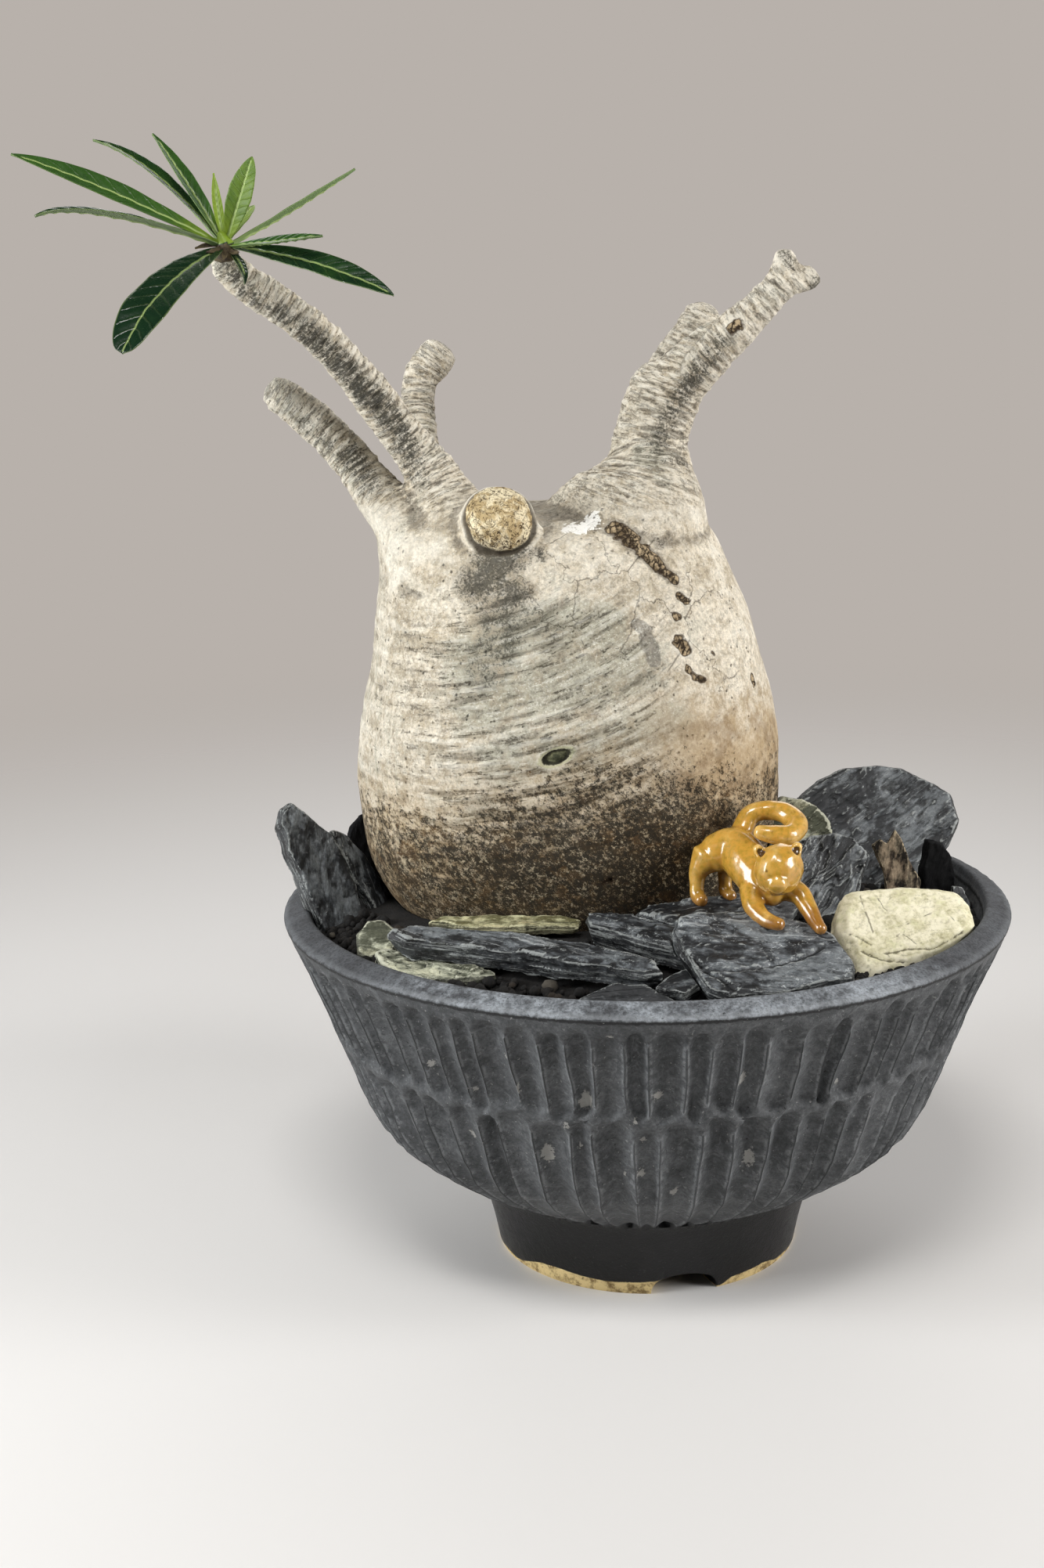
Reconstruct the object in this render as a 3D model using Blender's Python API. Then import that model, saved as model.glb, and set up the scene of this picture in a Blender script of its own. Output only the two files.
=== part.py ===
import math
import random

import bmesh
import bpy
from mathutils import Vector

# Potted pachypodium: a swollen stem with pruned branches and one leafy tip, in a
# carved, footed pot whose soil is dressed with slates and two stones, and a small
# glazed cat that stretches on the slates. Lengths here are millimetres; the pot
# stands on z = 0 about the z axis, and its front faces -Y.

MM = 0.001
GAP = 0.3

RIM_RADIUS = 120.0
LIP_RADIUS = 112.4
LIP_HEIGHT = 122.0
RIM_EDGE_HEIGHT = 118.6
TIER_HEIGHT = 60.0
FOOT_RADIUS = 50.5
FOOT_INSIDE = 41.0
FOOT_RECESS = 16.0
FLOOR_HEIGHT = 26.0
DRAIN_RADIUS = 9.0
UPPER_FLUTES = 88
LOWER_FLUTES = 62
NOTCH_ANGLES = (-79.0, 41.0, 161.0)
NOTCH_WIDTH = 20.0
NOTCH_HEIGHT = 7.0

SOIL_EDGE = 113.5
SOIL_RISE = 8.0

STEM_VOXEL = 2.0
STEM_KEEP = 0.062
CAT_VOXEL = 0.65
CAT_KEEP = 0.043

LEAF_THICKNESS = 0.75


# Scene and materials

def clear_scene():
    for ob in list(bpy.data.objects):
        bpy.data.objects.remove(ob, do_unlink=True)


def material(name, colour, roughness, metallic=0.0):
    mat = bpy.data.materials.new(name)
    mat.use_nodes = True
    shader = mat.node_tree.nodes["Principled BSDF"]
    shader.inputs["Base Color"].default_value = (*colour, 1.0)
    shader.inputs["Roughness"].default_value = roughness
    shader.inputs["Metallic"].default_value = metallic
    return mat


def add_object(name, verts, faces, mat, smooth_angle=None):
    mesh = bpy.data.meshes.new(name)
    mesh.from_pydata([Vector(v) * MM for v in verts], [], faces)
    bm = bmesh.new()
    bm.from_mesh(mesh)
    bmesh.ops.recalc_face_normals(bm, faces=bm.faces)
    bm.to_mesh(mesh)
    bm.free()
    mesh.materials.append(mat)
    if smooth_angle:
        mesh.shade_smooth()
        mesh.set_sharp_from_angle(angle=math.radians(smooth_angle))
    ob = bpy.data.objects.new(name, mesh)
    bpy.context.scene.collection.objects.link(ob)
    return ob


def remove_object(ob):
    mesh = ob.data
    bpy.data.objects.remove(ob, do_unlink=True)
    bpy.data.meshes.remove(mesh)


def apply_modifiers(ob):
    graph = bpy.context.evaluated_depsgraph_get()
    old = ob.data
    new = bpy.data.meshes.new_from_object(ob.evaluated_get(graph))
    ob.modifiers.clear()
    ob.data = new
    name = old.name
    bpy.data.meshes.remove(old)
    new.name = name


def boolean(ob, other, operation):
    cut = ob.modifiers.new(operation.lower(), "BOOLEAN")
    cut.operation = operation
    cut.solver = "EXACT"
    cut.object = other
    apply_modifiers(ob)


# Keeps the largest body of a mesh, where a cut has freed small bits of it.
def keep_largest(ob):
    bm = bmesh.new()
    bm.from_mesh(ob.data)
    left = set(bm.verts)
    bodies = []
    while left:
        body = {left.pop()}
        edge = list(body)
        while edge:
            near = {e.other_vert(v) for v in edge for e in v.link_edges} - body
            body |= near
            edge = list(near)
        left -= body
        bodies.append(body)
    bodies.sort(key=len)
    small = [v for body in bodies[:-1] for v in body]
    bmesh.ops.delete(bm, geom=small, context="VERTS")
    bm.to_mesh(ob.data)
    bm.free()


# Rings of points and the faces between them

# Faces between two rings of vertex numbers, which may have different counts.
def stitch(a, b):
    if len(a) == len(b):
        n = len(a)
        return [(a[i], a[(i + 1) % n], b[(i + 1) % n], b[i]) for i in range(n)]
    faces = []
    i = j = 0
    while i < len(a) or j < len(b):
        if j == len(b) or (i < len(a) and (i + 1) / len(a) <= (j + 1) / len(b)):
            faces.append((a[i % len(a)], a[(i + 1) % len(a)], b[j % len(b)]))
            i += 1
        else:
            faces.append((a[i % len(a)], b[(j + 1) % len(b)], b[j % len(b)]))
            j += 1
    return faces


# A closed solid from a stack of rings: its ends are capped, or joined to each other.
def stack(rings, join_ends=False):
    verts = []
    numbers = []
    for ring in rings:
        numbers.append(list(range(len(verts), len(verts) + len(ring))))
        verts.extend(ring)
    faces = []
    for a, b in zip(numbers, numbers[1:]):
        faces += stitch(a, b)
    if join_ends:
        faces += stitch(numbers[-1], numbers[0])
    else:
        faces += [tuple(numbers[0]), tuple(reversed(numbers[-1]))]
    return verts, faces


def circle(radius, z, count, centre=(0.0, 0.0)):
    turns = [2 * math.pi * i / count for i in range(count)]
    return [
        (centre[0] + radius * math.cos(a), centre[1] + radius * math.sin(a), z)
        for a in turns
    ]


# Pot

# Radii of the pot's inside wall at a height, in straight runs between these rows.
INSIDE = [
    (26.0, 42.0), (30.0, 51.0), (37.0, 63.0), (47.0, 79.0), (60.0, 89.5),
    (80.0, 96.8), (100.0, 104.6), (118.0, 111.0), (121.4, 111.6),
]


def inside_radius(z):
    for (z0, r0), (z1, r1) in zip(INSIDE, INSIDE[1:]):
        if z <= z1:
            return r0 + (r1 - r0) * (z - z0) / (z1 - z0)
    return INSIDE[-1][1]


# A ring of flutes: a ridge, then two points down in the hollow, for each flute.
def fluted_ring(radius, z, flutes, depth, seed):
    draw = random.Random(seed)
    turns = [draw.uniform(-0.12, 0.12) for _ in range(flutes)]
    depths = [draw.uniform(0.7, 1.25) for _ in range(flutes)]
    points = []
    for k in range(flutes):
        for part, sunk in ((0.0, 0.0), (0.36, 1.0), (0.68, 0.92)):
            step = part if part else turns[k]
            angle = 2 * math.pi * (k + step) / flutes
            r = radius - depth * sunk * depths[k]
            points.append((r * math.cos(angle), r * math.sin(angle), z))
    return points


def make_pot(mat):
    rings = [circle(DRAIN_RADIUS, FLOOR_HEIGHT, 20)]
    rings += [circle(r, z, 36) for z, r in INSIDE[:-2]]
    rings += [circle(r, z, 88) for z, r in INSIDE[-2:]]
    rings.append(circle(LIP_RADIUS, LIP_HEIGHT, 88))
    rows = (
        (RIM_RADIUS, RIM_EDGE_HEIGHT, 0.7), (118.6, 115.8, 1.7),
        (107.8, 89.0, 2.0), (97.4, 61.0, 0.9),
    )
    rings += [fluted_ring(r, z, UPPER_FLUTES, d, 3) for r, z, d in rows]
    rows = (
        (96.8, TIER_HEIGHT - 1.5, 0.9), (90.6, 48.0, 1.9), (75.0, 35.5, 2.0),
    )
    rings += [fluted_ring(r, z, LOWER_FLUTES, d, 8) for r, z, d in rows]
    rings += [
        circle(57.2, 26.3, 62), circle(54.6, 19.0, 62),
        circle(FOOT_RADIUS, 0.0, 62), circle(FOOT_INSIDE, 0.0, 62),
        circle(FOOT_INSIDE - 1.0, FOOT_RECESS, 62), circle(DRAIN_RADIUS, FOOT_RECESS, 20),
    ]
    verts, faces = stack(rings, join_ends=True)
    pot = add_object("pot", verts, faces, mat, 35)
    middle = (FOOT_INSIDE + FOOT_RADIUS) / 2
    for angle in NOTCH_ANGLES:
        along = Vector((math.cos(math.radians(angle)), math.sin(math.radians(angle)), 0))
        across = Vector((-along.y, along.x, 0))
        ends = []
        for reach in (middle - 14.0, middle + 14.0):
            ends.append([
                along * reach
                + across * (NOTCH_WIDTH / 2 * math.cos(math.pi * i / 8))
                + Vector((0, 0, NOTCH_HEIGHT * math.sin(math.pi * i / 8) ** 0.7))
                for i in range(1, 8)
            ])
            for side in (-1, 1):
                foot = along * reach + across * (side * NOTCH_WIDTH / 2)
                ends[-1].append(foot + Vector((0, 0, -2.0)))
        verts, faces = stack(ends)
        cutter = add_object("notch_cutter", verts, faces, mat)
        boolean(pot, cutter, "DIFFERENCE")
        remove_object(cutter)
    return pot


# A ring-shaped body that holds the place of the pot's wall, with the gap added.
def make_wall_guard(mat):
    rings = [circle(inside_radius(z) - GAP, z, 96) for z in (28, 37, 47, 60, 80, 100, 118)]
    rings += [circle(LIP_RADIUS - 1.2 - GAP, LIP_HEIGHT + GAP, 96)]
    rings += [circle(150.0, LIP_HEIGHT + GAP, 96), circle(150.0, 28.0, 96)]
    verts, faces = stack(rings, join_ends=True)
    return add_object("wall_guard", verts, faces, mat)


# A square plastic grid over the drain hole, with bars and open cells in turn.
def make_drain_mesh(mat):
    cells, pitch, bar, thickness = 3, 9.0, 1.8, 1.0
    half = (cells * pitch + bar) / 2
    lines = []
    for i in range(cells + 1):
        lines += [i * pitch - half, i * pitch + bar - half]
    floor = FLOOR_HEIGHT + GAP
    size = len(lines)
    verts = [(x, y, floor + z) for z in (0.0, thickness) for y in lines for x in lines]
    faces = []

    def solid(i, j):
        inside = 0 <= i < size - 1 and 0 <= j < size - 1
        return inside and not (i % 2 and j % 2)

    layer = size * size
    for j in range(-1, size):
        for i in range(-1, size):
            if solid(i, j):
                a = j * size + i
                faces.append((a, a + 1, a + size + 1, a + size))
                faces.append(tuple(v + layer for v in (a, a + 1, a + size + 1, a + size)))
            if solid(i, j) != solid(i + 1, j):
                a = j * size + i + 1
                faces.append((a, a + size, a + size + layer, a + layer))
            if solid(i, j) != solid(i, j + 1):
                a = (j + 1) * size + i
                faces.append((a, a + 1, a + 1 + layer, a + layer))
    return add_object("drain_mesh", verts, faces, mat)


# Stem

# Rows of the swollen stem: centre x, centre y, height, half width, half depth.
STEM_ROWS = [
    (-24, 3, 75, 30, 27), (-24, 3, 95, 43, 36), (-23.5, 3, 113, 52.5, 43),
    (-24.5, 3, 123, 59.5, 47.5), (-25, 3, 136, 65.5, 53), (-25, 3, 152, 68.5, 57),
    (-25, 3, 171, 69, 59), (-24.7, 3, 185, 67, 59), (-24.8, 3, 200, 63.6, 56),
    (-26, 3, 215, 60.5, 52), (-28.8, 3, 231, 56.5, 45), (-31.5, 2, 242, 54, 37),
    (-34, 2, 248, 46, 27), (-38, 2, 250.5, 30, 14),
]

# Branches: x, y, height and radius along each, from its tip to inside the stem.
BRANCHES = {
    "leafy": [
        (-127.4, -22.2, 328.6, 5), (-122.2, -20, 322.8, 5.8), (-112.3, -17, 316, 6),
        (-102.8, -15, 308.6, 5.9), (-95.4, -12, 300.8, 6.2), (-86.7, -9, 289.8, 6.6),
        (-80.1, -6, 280, 7), (-74.8, -4, 272.6, 7.1), (-67.5, -1, 262.8, 8),
        (-62.3, 0, 252.6, 10), (-57, 0, 238, 14),
    ],
    "left_stub": [
        (-116.8, 8, 287.7, 5.8), (-111.1, 8, 283.7, 6.3), (-101.2, 8, 274.8, 6.7),
        (-91.9, 7, 264.5, 7), (-84.2, 5, 254, 7.8), (-76, 3, 243, 9.4), (-70, 3, 232, 12),
    ],
    "back_stub": [
        (-65.6, 30, 298.8, 5.2), (-70.9, 28, 291, 5.7), (-71.8, 26, 280.6, 5.7),
        (-71.4, 20, 271.5, 6), (-69, 12, 258, 7.6), (-63, 6, 242, 11.5),
    ],
    "cut_stub": [
        (-46.3, -30.5, 251.2, 11.2), (-46.3, -28, 249.2, 12.2), (-46.2, -17, 241.5, 12.8),
        (-46, -6, 234, 17),
    ],
    "horn": [
        (8.6, 6, 287, 12), (5, 5, 278, 12), (2.5, 4, 268, 12.2), (1.6, 2.5, 263, 13.4),
        (-1.4, 2, 255.5, 17.6), (-5, 2, 246.5, 24), (-8, 2, 234, 32),
    ],
    "horn_back": [(21.2, 19, 308, 7.2), (17.5, 17, 301.4, 7.5), (11, 13, 291, 9), (7, 8, 280, 9)],
    "horn_front": [
        (46.5, -3.5, 320.8, 4.8), (40.5, -3, 315.4, 5.4), (33.6, -2, 308.6, 6.1),
        (26.2, -0.5, 301.8, 7.4), (15, 1.5, 292.5, 9.2), (8, 4, 283, 9.5),
    ],
    "horn_scar": [(29, -8.5, 306, 4.2), (27.5, -1, 304, 5.5)],
    "horn_up_knob": [(44.6, -4, 327.6, 3.8), (43.5, -3.5, 319.5, 4.4)],
    "horn_end_knob": [(53.5, -2, 320.2, 4.1), (44, -3, 319.5, 4.4)],
}


def stem_section(cx, cy, z, a, b, count=40):
    ring = []
    for i in range(count):
        t = 2 * math.pi * i / count
        c, s = math.cos(t), math.sin(t)
        ring.append((
            cx + a * math.copysign(abs(c) ** 0.92, c),
            cy + b * math.copysign(abs(s) ** 0.92, s),
            z,
        ))
    return ring


# Smooth rows between the given ones, by Catmull-Rom.
def smooth_rows(rows, steps):
    rows = [Vector(r) for r in rows]
    out = []
    for i in range(len(rows) - 1):
        a = rows[max(i - 1, 0)]
        b, c = rows[i], rows[i + 1]
        d = rows[min(i + 2, len(rows) - 1)]
        for k in range(steps):
            t = k / steps
            out.append(
                0.5 * (2 * b + (c - a) * t + (2 * a - 5 * b + 4 * c - d) * t * t
                       + (3 * b - a - 3 * c + d) * t ** 3)
            )
    out.append(rows[-1])
    return out


# Rings of a tube along points with a radius each, with domed ends.
def tube_rings(rows, count, steps=3, dome=0.6):
    rows = smooth_rows(rows, steps)
    centres = [Vector(r[:3]) for r in rows]
    radii = [r[3] for r in rows]
    first = (centres[0] - centres[1]).normalized()
    last = (centres[-1] - centres[-2]).normalized()
    centres = (
        [centres[0] + first * radii[0] * dome, centres[0] + first * radii[0] * dome * 0.7]
        + centres
        + [centres[-1] + last * radii[-1] * dome * 0.7, centres[-1] + last * radii[-1] * dome]
    )
    radii = [radii[0] * 0.35, radii[0] * 0.75] + radii + [radii[-1] * 0.75, radii[-1] * 0.35]
    side = first.orthogonal().normalized()
    rings = []
    for i, (centre, r) in enumerate(zip(centres, radii)):
        ahead = centres[min(i + 1, len(centres) - 1)] - centres[max(i - 1, 0)]
        ahead.normalize()
        side = (side - ahead * side.dot(ahead)).normalized()
        other = ahead.cross(side)
        rings.append([
            centre + (side * math.cos(2 * math.pi * k / count)
                      + other * math.sin(2 * math.pi * k / count)) * r
            for k in range(count)
        ])
    return rings


# Several closed shells in one mesh, which the remesh then makes into one skin.
def join_shells(shells):
    verts, faces = [], []
    for shell_verts, shell_faces in shells:
        start = len(verts)
        verts += shell_verts
        faces += [tuple(v + start for v in face) for face in shell_faces]
    return verts, faces


def skin(ob, voxel, smoothing, keep):
    remesh = ob.modifiers.new("skin", "REMESH")
    remesh.mode = "VOXEL"
    remesh.voxel_size = voxel * MM
    smooth = ob.modifiers.new("soften", "SMOOTH")
    smooth.factor = 0.5
    smooth.iterations = smoothing
    thin = ob.modifiers.new("thin", "DECIMATE")
    thin.ratio = keep
    apply_modifiers(ob)


# A plain upright plug that leaves the hole in the soil for the stem.
def make_stem_plug(mat):
    wide = 2 * GAP
    rows = [row for row in STEM_ROWS if row[2] < 140]
    rings = [stem_section(cx, cy, z, a + wide, b + wide, 32) for cx, cy, z, a, b in rows]
    base = rows[0]
    rings.insert(0, stem_section(*base[:2], base[2] - wide, base[3], base[4], 32))
    verts, faces = stack(rings)
    return add_object("stem_plug", verts, faces, mat)


# A copy of a closed mesh with its skin pushed out by the gap.
def grown_copy(ob, name, distance):
    mesh = ob.data.copy()
    bm = bmesh.new()
    bm.from_mesh(mesh)
    bm.normal_update()
    moves = [(v, v.normal.copy()) for v in bm.verts]
    for v, normal in moves:
        v.co += normal * distance * MM
    bm.to_mesh(mesh)
    bm.free()
    copy = bpy.data.objects.new(name, mesh)
    bpy.context.scene.collection.objects.link(copy)
    return copy


def make_stem(mat):
    rows = smooth_rows(STEM_ROWS, 3)
    shells = [stack([stem_section(*row) for row in rows])]
    for rows in BRANCHES.values():
        shells.append(stack(tube_rings(rows, 20)))
    verts, faces = join_shells(shells)
    stem = add_object("stem", verts, faces, mat)
    skin(stem, STEM_VOXEL, 6, STEM_KEEP)
    stem.data.shade_smooth()
    return stem


# Leaves

# Each leaf: middle and tip of its midrib, full width, where it is widest along its
# length, the way its upper face looks, how far its halves fold up, and the power that
# sets its outline, which is blunter the lower it is.
LEAVES = [
    ((-158.2, -32, 349.4), (-185.1, -42, 360.5), 8.8, 0.52, (0.3, -0.6, 0.75), 0.25, 0.8),
    ((-158.7, -42, 343.1), (-177.5, -52, 342.9), 7.5, 0.45, (0.05, -0.12, 1.0), 0.3, 0.8),
    ((-148.9, -8, 355.1), (-170, 8, 366.3), 6.2, 0.5, (0.5, -0.45, 0.75), 0.35, 0.8),
    ((-138.4, -16, 352.3), (-149.2, -6, 367.1), 6.4, 0.5, (0.7, -0.6, 0.35), 0.35, 0.8),
    ((-128.6, -21, 345.3), (-129.7, -18, 354.7), 3.0, 0.45, (0.1, -1.0, 0.1), 0.4, 0.8),
    ((-121, -27, 347.4), (-117, -26, 359), 7.9, 0.52, (-0.25, -1.0, 0.2), 0.22, 0.7),
    ((-123.4, -10, 340.4), (-120.3, 4, 345.5), 6.0, 0.55, (-0.2, -0.6, 0.8), 0.3, 0.8),
    ((-106.8, -10, 344.1), (-88.7, 4, 356), 5.0, 0.5, (-0.5, 0.12, 0.9), 0.3, 0.8),
    ((-111, -36, 334.4), (-95.5, -44, 335.9), 5.8, 0.55, (0.0, -0.4, 0.9), 0.25, 0.8),
    ((-98.4, -40, 327.9), (-74.8, -52, 318.6), 8.6, 0.55, (0.3, -0.8, 0.6), 0.2, 0.7),
    ((-141.4, -52, 321.5), (-151.2, -72, 304.4), 14.6, 0.62, (-0.3, -1.0, 0.4), 0.12, 0.42),
    ((-121.4, -29, 327.6), (-119.9, -34, 322.4), 2.8, 0.5, (0.5, -0.8, 0.1), 0.3, 0.8),
]
ROSETTE = (-126.6, -23.6, 333.4)


def leaf_rings(middle, tip, width, widest, upper, fold, power):
    base, middle, tip = Vector(ROSETTE), Vector(middle), Vector(tip)
    base = base + (middle - base).normalized() * 1.2
    handle = 2 * middle - (base + tip) / 2
    upper = Vector(upper).normalized()
    steps = 6
    rings = []
    for i in range(steps + 1):
        t = i / steps
        centre = base * (1 - t) ** 2 + handle * 2 * t * (1 - t) + tip * t * t
        ahead = ((handle - base) * (1 - t) + (tip - handle) * t).normalized()
        side = ahead.cross(upper).normalized()
        normal = side.cross(ahead)
        bend = math.log(0.5) / math.log(widest)
        share = math.sin(math.pi * min(t ** bend, 1.0)) ** power if 0 < t < 1 else 0.0
        half = max(width / 2 * share, 1.0 - 0.5 * t)
        top, under = [], []
        for s in (-1.0, -0.5, 0.0, 0.5, 1.0):
            point = centre + side * (s * half) + normal * (fold * abs(s) * half)
            thick = LEAF_THICKNESS * (1.25 - 0.25 * abs(s))
            top.append(point)
            under.append(point - normal * thick)
        rings.append(top + under[::-1])
    return rings


def make_rosette(mat):
    x, y, z = ROSETTE
    rows = [(x - 1, y - 0.4, z + 4, 1.6), (x, y, z, 3.4), (x, y + 0.6, z - 3, 4.4)]
    verts, faces = stack(tube_rings(rows, 12, 1))
    rosette = add_object("leaf_rosette", verts, faces, mat, 40)
    leaves = bpy.data.collections.new("leaves")
    bpy.context.scene.collection.children.link(leaves)
    for i, leaf in enumerate(LEAVES):
        verts, faces = stack(leaf_rings(*leaf))
        ob = add_object(f"leaf_{i}", verts, faces, mat, 40)
        bpy.context.scene.collection.objects.unlink(ob)
        leaves.objects.link(ob)
    union = rosette.modifiers.new("union", "BOOLEAN")
    union.operation = "UNION"
    union.operand_type = "COLLECTION"
    union.collection = leaves
    union.solver = "EXACT"
    apply_modifiers(rosette)
    for ob in list(leaves.objects):
        remove_object(ob)
    bpy.data.collections.remove(leaves)
    return rosette


# Slates and stones

# Layers down a slate and down a rounded stone: share of the thickness, then size.
SLATE_LAYERS = ((0.0, 0.95), (0.3, 1.0), (0.65, 0.97), (1.0, 0.93))
STONE_LAYERS = ((0.0, 0.84), (0.14, 0.97), (0.5, 1.0), (0.85, 0.92), (1.0, 0.74))

# Each piece: colour, centre of its upper face, the bearing it leans to, its lean from
# level, its thickness, and its outline (across, up the slope), in the order that they
# were laid down last to first, so that each is shaped by the ones before it.
PIECES = {
    "stone_pale": (
        "cream", (76, -54, 126), -75, 40, 14.0,
        [(-14, 13), (-11, 14), (6, 14), (17, 12), (24, 10), (27, 5), (26, -4), (15, -11),
         (3, -15), (-15, -19), (-19, -16), (-19, -9), (-21, 0), (-19, 6)],
    ),
    "slate_front_big": (
        "slate", (28, -85, 128), -78, 28, 8.0,
        [(-23, 11), (-20, 16), (-15, 18), (3, 17), (23, 7), (27, 3), (29, -8), (27, -15),
         (3, -18), (-13, -18), (-18, -14), (-22, 3)],
    ),
    "slate_cat_rear": (
        "slate", (18, -57, 132), -80, 8, 4.0,
        [(-25, 2), (-19, 7), (-6, 9), (8, 10), (22, 8), (28, 0), (20, -14), (-6, -13)],
    ),
    "slate_left_tall": (
        "slate", (-107, -15, 137), -58, 66, 8.0,
        [(-8, 20), (-4, 22), (0, 18), (7, 10), (10, 2), (12, -9), (13, -22), (5, -32),
         (-2, -28), (-6, -9), (-9, 6), (-10, 16)],
    ),
    "slate_front_long": (
        "slate", (-38, -77, 128), -100, 12, 7.0,
        [(-46, 6), (-41, 10), (-7, 8), (17, 3), (38, -6), (41, -11), (36, -13), (10, -8),
         (-15, -3), (-40, 1)],
    ),
    "slate_green_flat": (
        "green", (-72, -71, 121), -95, 12, 4.5,
        [(-15, 6), (-9, 8), (5, 4), (22, -3), (24, -6), (10, -9), (-4, -8), (-12, -2)],
    ),
    "stone_green": (
        "green", (-86.5, -52, 123), -90, 45, 10.0,
        [(-6, -5), (-6.5, 2), (-3, 7), (2, 7.5), (6, 4), (6.5, -3), (3, -7), (-3, -7)],
    ),
    "slate_left_second": (
        "slate", (-93, -6, 131), -35, 62, 3.0,
        [(-6, 18), (0, 15), (5, 6), (9, -8), (11, -22), (5, -25), (-1, -20), (-5, 0),
         (-8, 15)],
    ),
    "slate_yellow": (
        "olive", (-45, -48, 127), -100, 10, 3.5,
        [(-26, -3), (-22, 1), (-4, 4), (16, 5), (23, 2), (22, -2), (5, -4), (-15, -5)],
    ),
    "slate_mid_block": (
        "slate", (-3, -67, 130), -95, 12, 8.0,
        [(-19, 8), (6, 10), (20, 4), (26, -6), (14, -16), (1, -9), (-18, 2)],
    ),
    "slate_chip_front": (
        "slate", (5, -95, 122), -80, 20, 6.0,
        [(-8, -2), (-3, 3), (4, 6), (7, -1), (0, -6)],
    ),
    "slate_chip_thin": (
        "slate", (-12, -101, 117), -90, 55, 2.0,
        [(-15, 1), (-9, 4), (-2, 7), (7, 6), (16, 1), (12, -6), (-6, -7)],
    ),
    "slate_right_mid": (
        "slate", (61, -14, 136), -95, 55, 10.0,
        [(-14, 5), (-6, 8), (0, 9), (7, 7), (12, 1), (10, -4), (6, -18), (-5, -22),
         (-14, -14)],
    ),
    "bark_chip": (
        "bark", (85, 4, 129), -85, 70, 3.0,
        [(-8, 6), (-5, 8), (-3, 6), (0, 11), (2, 8), (4, 1), (8, -7), (6, -18), (-3, -18),
         (-5, -3)],
    ),
    "slate_back_round": (
        "green", (55, 15, 140), -90, 60, 9.0,
        [(-12, 6), (-7, 10), (0, 9), (5, 6), (9, 1), (10, -4), (7, -20), (-2, -26),
         (-10, -20), (-13, -5)],
    ),
    "charcoal": (
        "coal", (101, 11, 123), -80, 80, 7.0,
        [(-4, 11), (1, 10), (4, 6), (5, -6), (5, -12), (-5, -12), (-6, 1)],
    ),
    "slate_right_thin": (
        "slate", (104, -14, 119), -60, 80, 1.6,
        [(-4, 7), (0, 6), (3, 0), (2, -9), (-4, -9)],
    ),
    "slate_back_large": (
        "slate", (85, 36, 138), -88, 62, 7.0,
        [(-29, 6), (-22, 12), (-13, 16), (0, 17), (8, 16), (17, 11), (25, 6), (27, -4),
         (23, -12), (15, -24), (-5, -29), (-20, -24), (-29, -8)],
    ),
    "slate_left_dark": (
        "coal", (-94, 20, 131.5), -60, 75, 4.0,
        [(-9, 1), (-3, 10), (1, 13), (8, 5), (12, -10), (8, -22), (-6, -22), (-10, -10)],
    ),
    "slate_rear_right": (
        "slate", (34, 80, 123), 65, 22, 6.0,
        [(-22, -6), (-17, 8), (-4, 14), (12, 12), (21, 3), (18, -10), (2, -15), (-14, -13)],
    ),
    "slate_rear_middle": (
        "slate", (-20, 84, 123), 98, 18, 5.0,
        [(-25, 0), (-15, 11), (5, 13), (22, 7), (25, -5), (10, -13), (-12, -12)],
    ),
    "slate_rear_left": (
        "slate", (-74, 60, 124), 140, 24, 6.0,
        [(-20, -7), (-18, 7), (-3, 14), (14, 12), (20, 0), (14, -12), (-6, -14)],
    ),
    "slate_rear_lean": (
        "slate", (-12, 68, 130), 84, 58, 4.0,
        [(-16, -8), (-13, 6), (-4, 14), (6, 12), (15, 3), (14, -12), (2, -18), (-10, -16)],
    ),
}


# A slate or stone: its outline is roughened with a seeded draw, then stacked in layers.
def piece_rings(centre, bearing, lean, thickness, outline, seed, layers, grow=0.0):
    a, t = math.radians(bearing), math.radians(lean)
    up = Vector((math.sin(t) * math.cos(a), math.sin(t) * math.sin(a), math.cos(t)))
    across = Vector((-math.sin(a), math.cos(a), 0.0))
    slope = up.cross(across)
    draw = random.Random(seed)
    corners = [Vector(p) for p in outline]
    rough = []
    for p, q in zip(corners, corners[1:] + corners[:1]):
        rough.append(p)
        if (q - p).length > 9.0:
            out = Vector((q - p).orthogonal()).normalized()
            rough.append((p + q) / 2 + out * draw.uniform(-0.8, 0.5))
    middle = sum(rough, Vector((0, 0))) / len(rough)
    rings = []
    for depth, size in layers:
        level = -depth * thickness + grow * (1 - 2 * depth)
        flat = [middle + (p - middle) * (size + draw.uniform(-0.015, 0.015)) for p in rough]
        ring = []
        for i, p in enumerate(flat):
            along = (flat[(i + 1) % len(flat)] - flat[i - 1]).normalized()
            p = p + Vector((-along.y, along.x)) * grow * 2.0
            ring.append(Vector(centre) + across * p.x + slope * p.y + up * level)
        rings.append(ring)
    return rings


def make_piece(name, seed, mats, grow=0.0):
    colour, centre, bearing, lean, thickness, outline = PIECES[name]
    layers = STONE_LAYERS if name.startswith("stone") else SLATE_LAYERS
    rings = piece_rings(centre, bearing, lean, thickness, outline, seed, layers, grow)
    verts, faces = stack(rings)
    return add_object(name if grow == 0.0 else name + "_guard", verts, faces, mats[colour])


def box_of(ob):
    points = [v.co for v in ob.data.vertices]
    low = Vector([min(p[i] for p in points) for i in range(3)])
    high = Vector([max(p[i] for p in points) for i in range(3)])
    return low, high


def boxes_meet(a, b):
    (low_a, high_a), (low_b, high_b) = box_of(a), box_of(b)
    return all(low_a[i] < high_b[i] and low_b[i] < high_a[i] for i in range(3))


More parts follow.
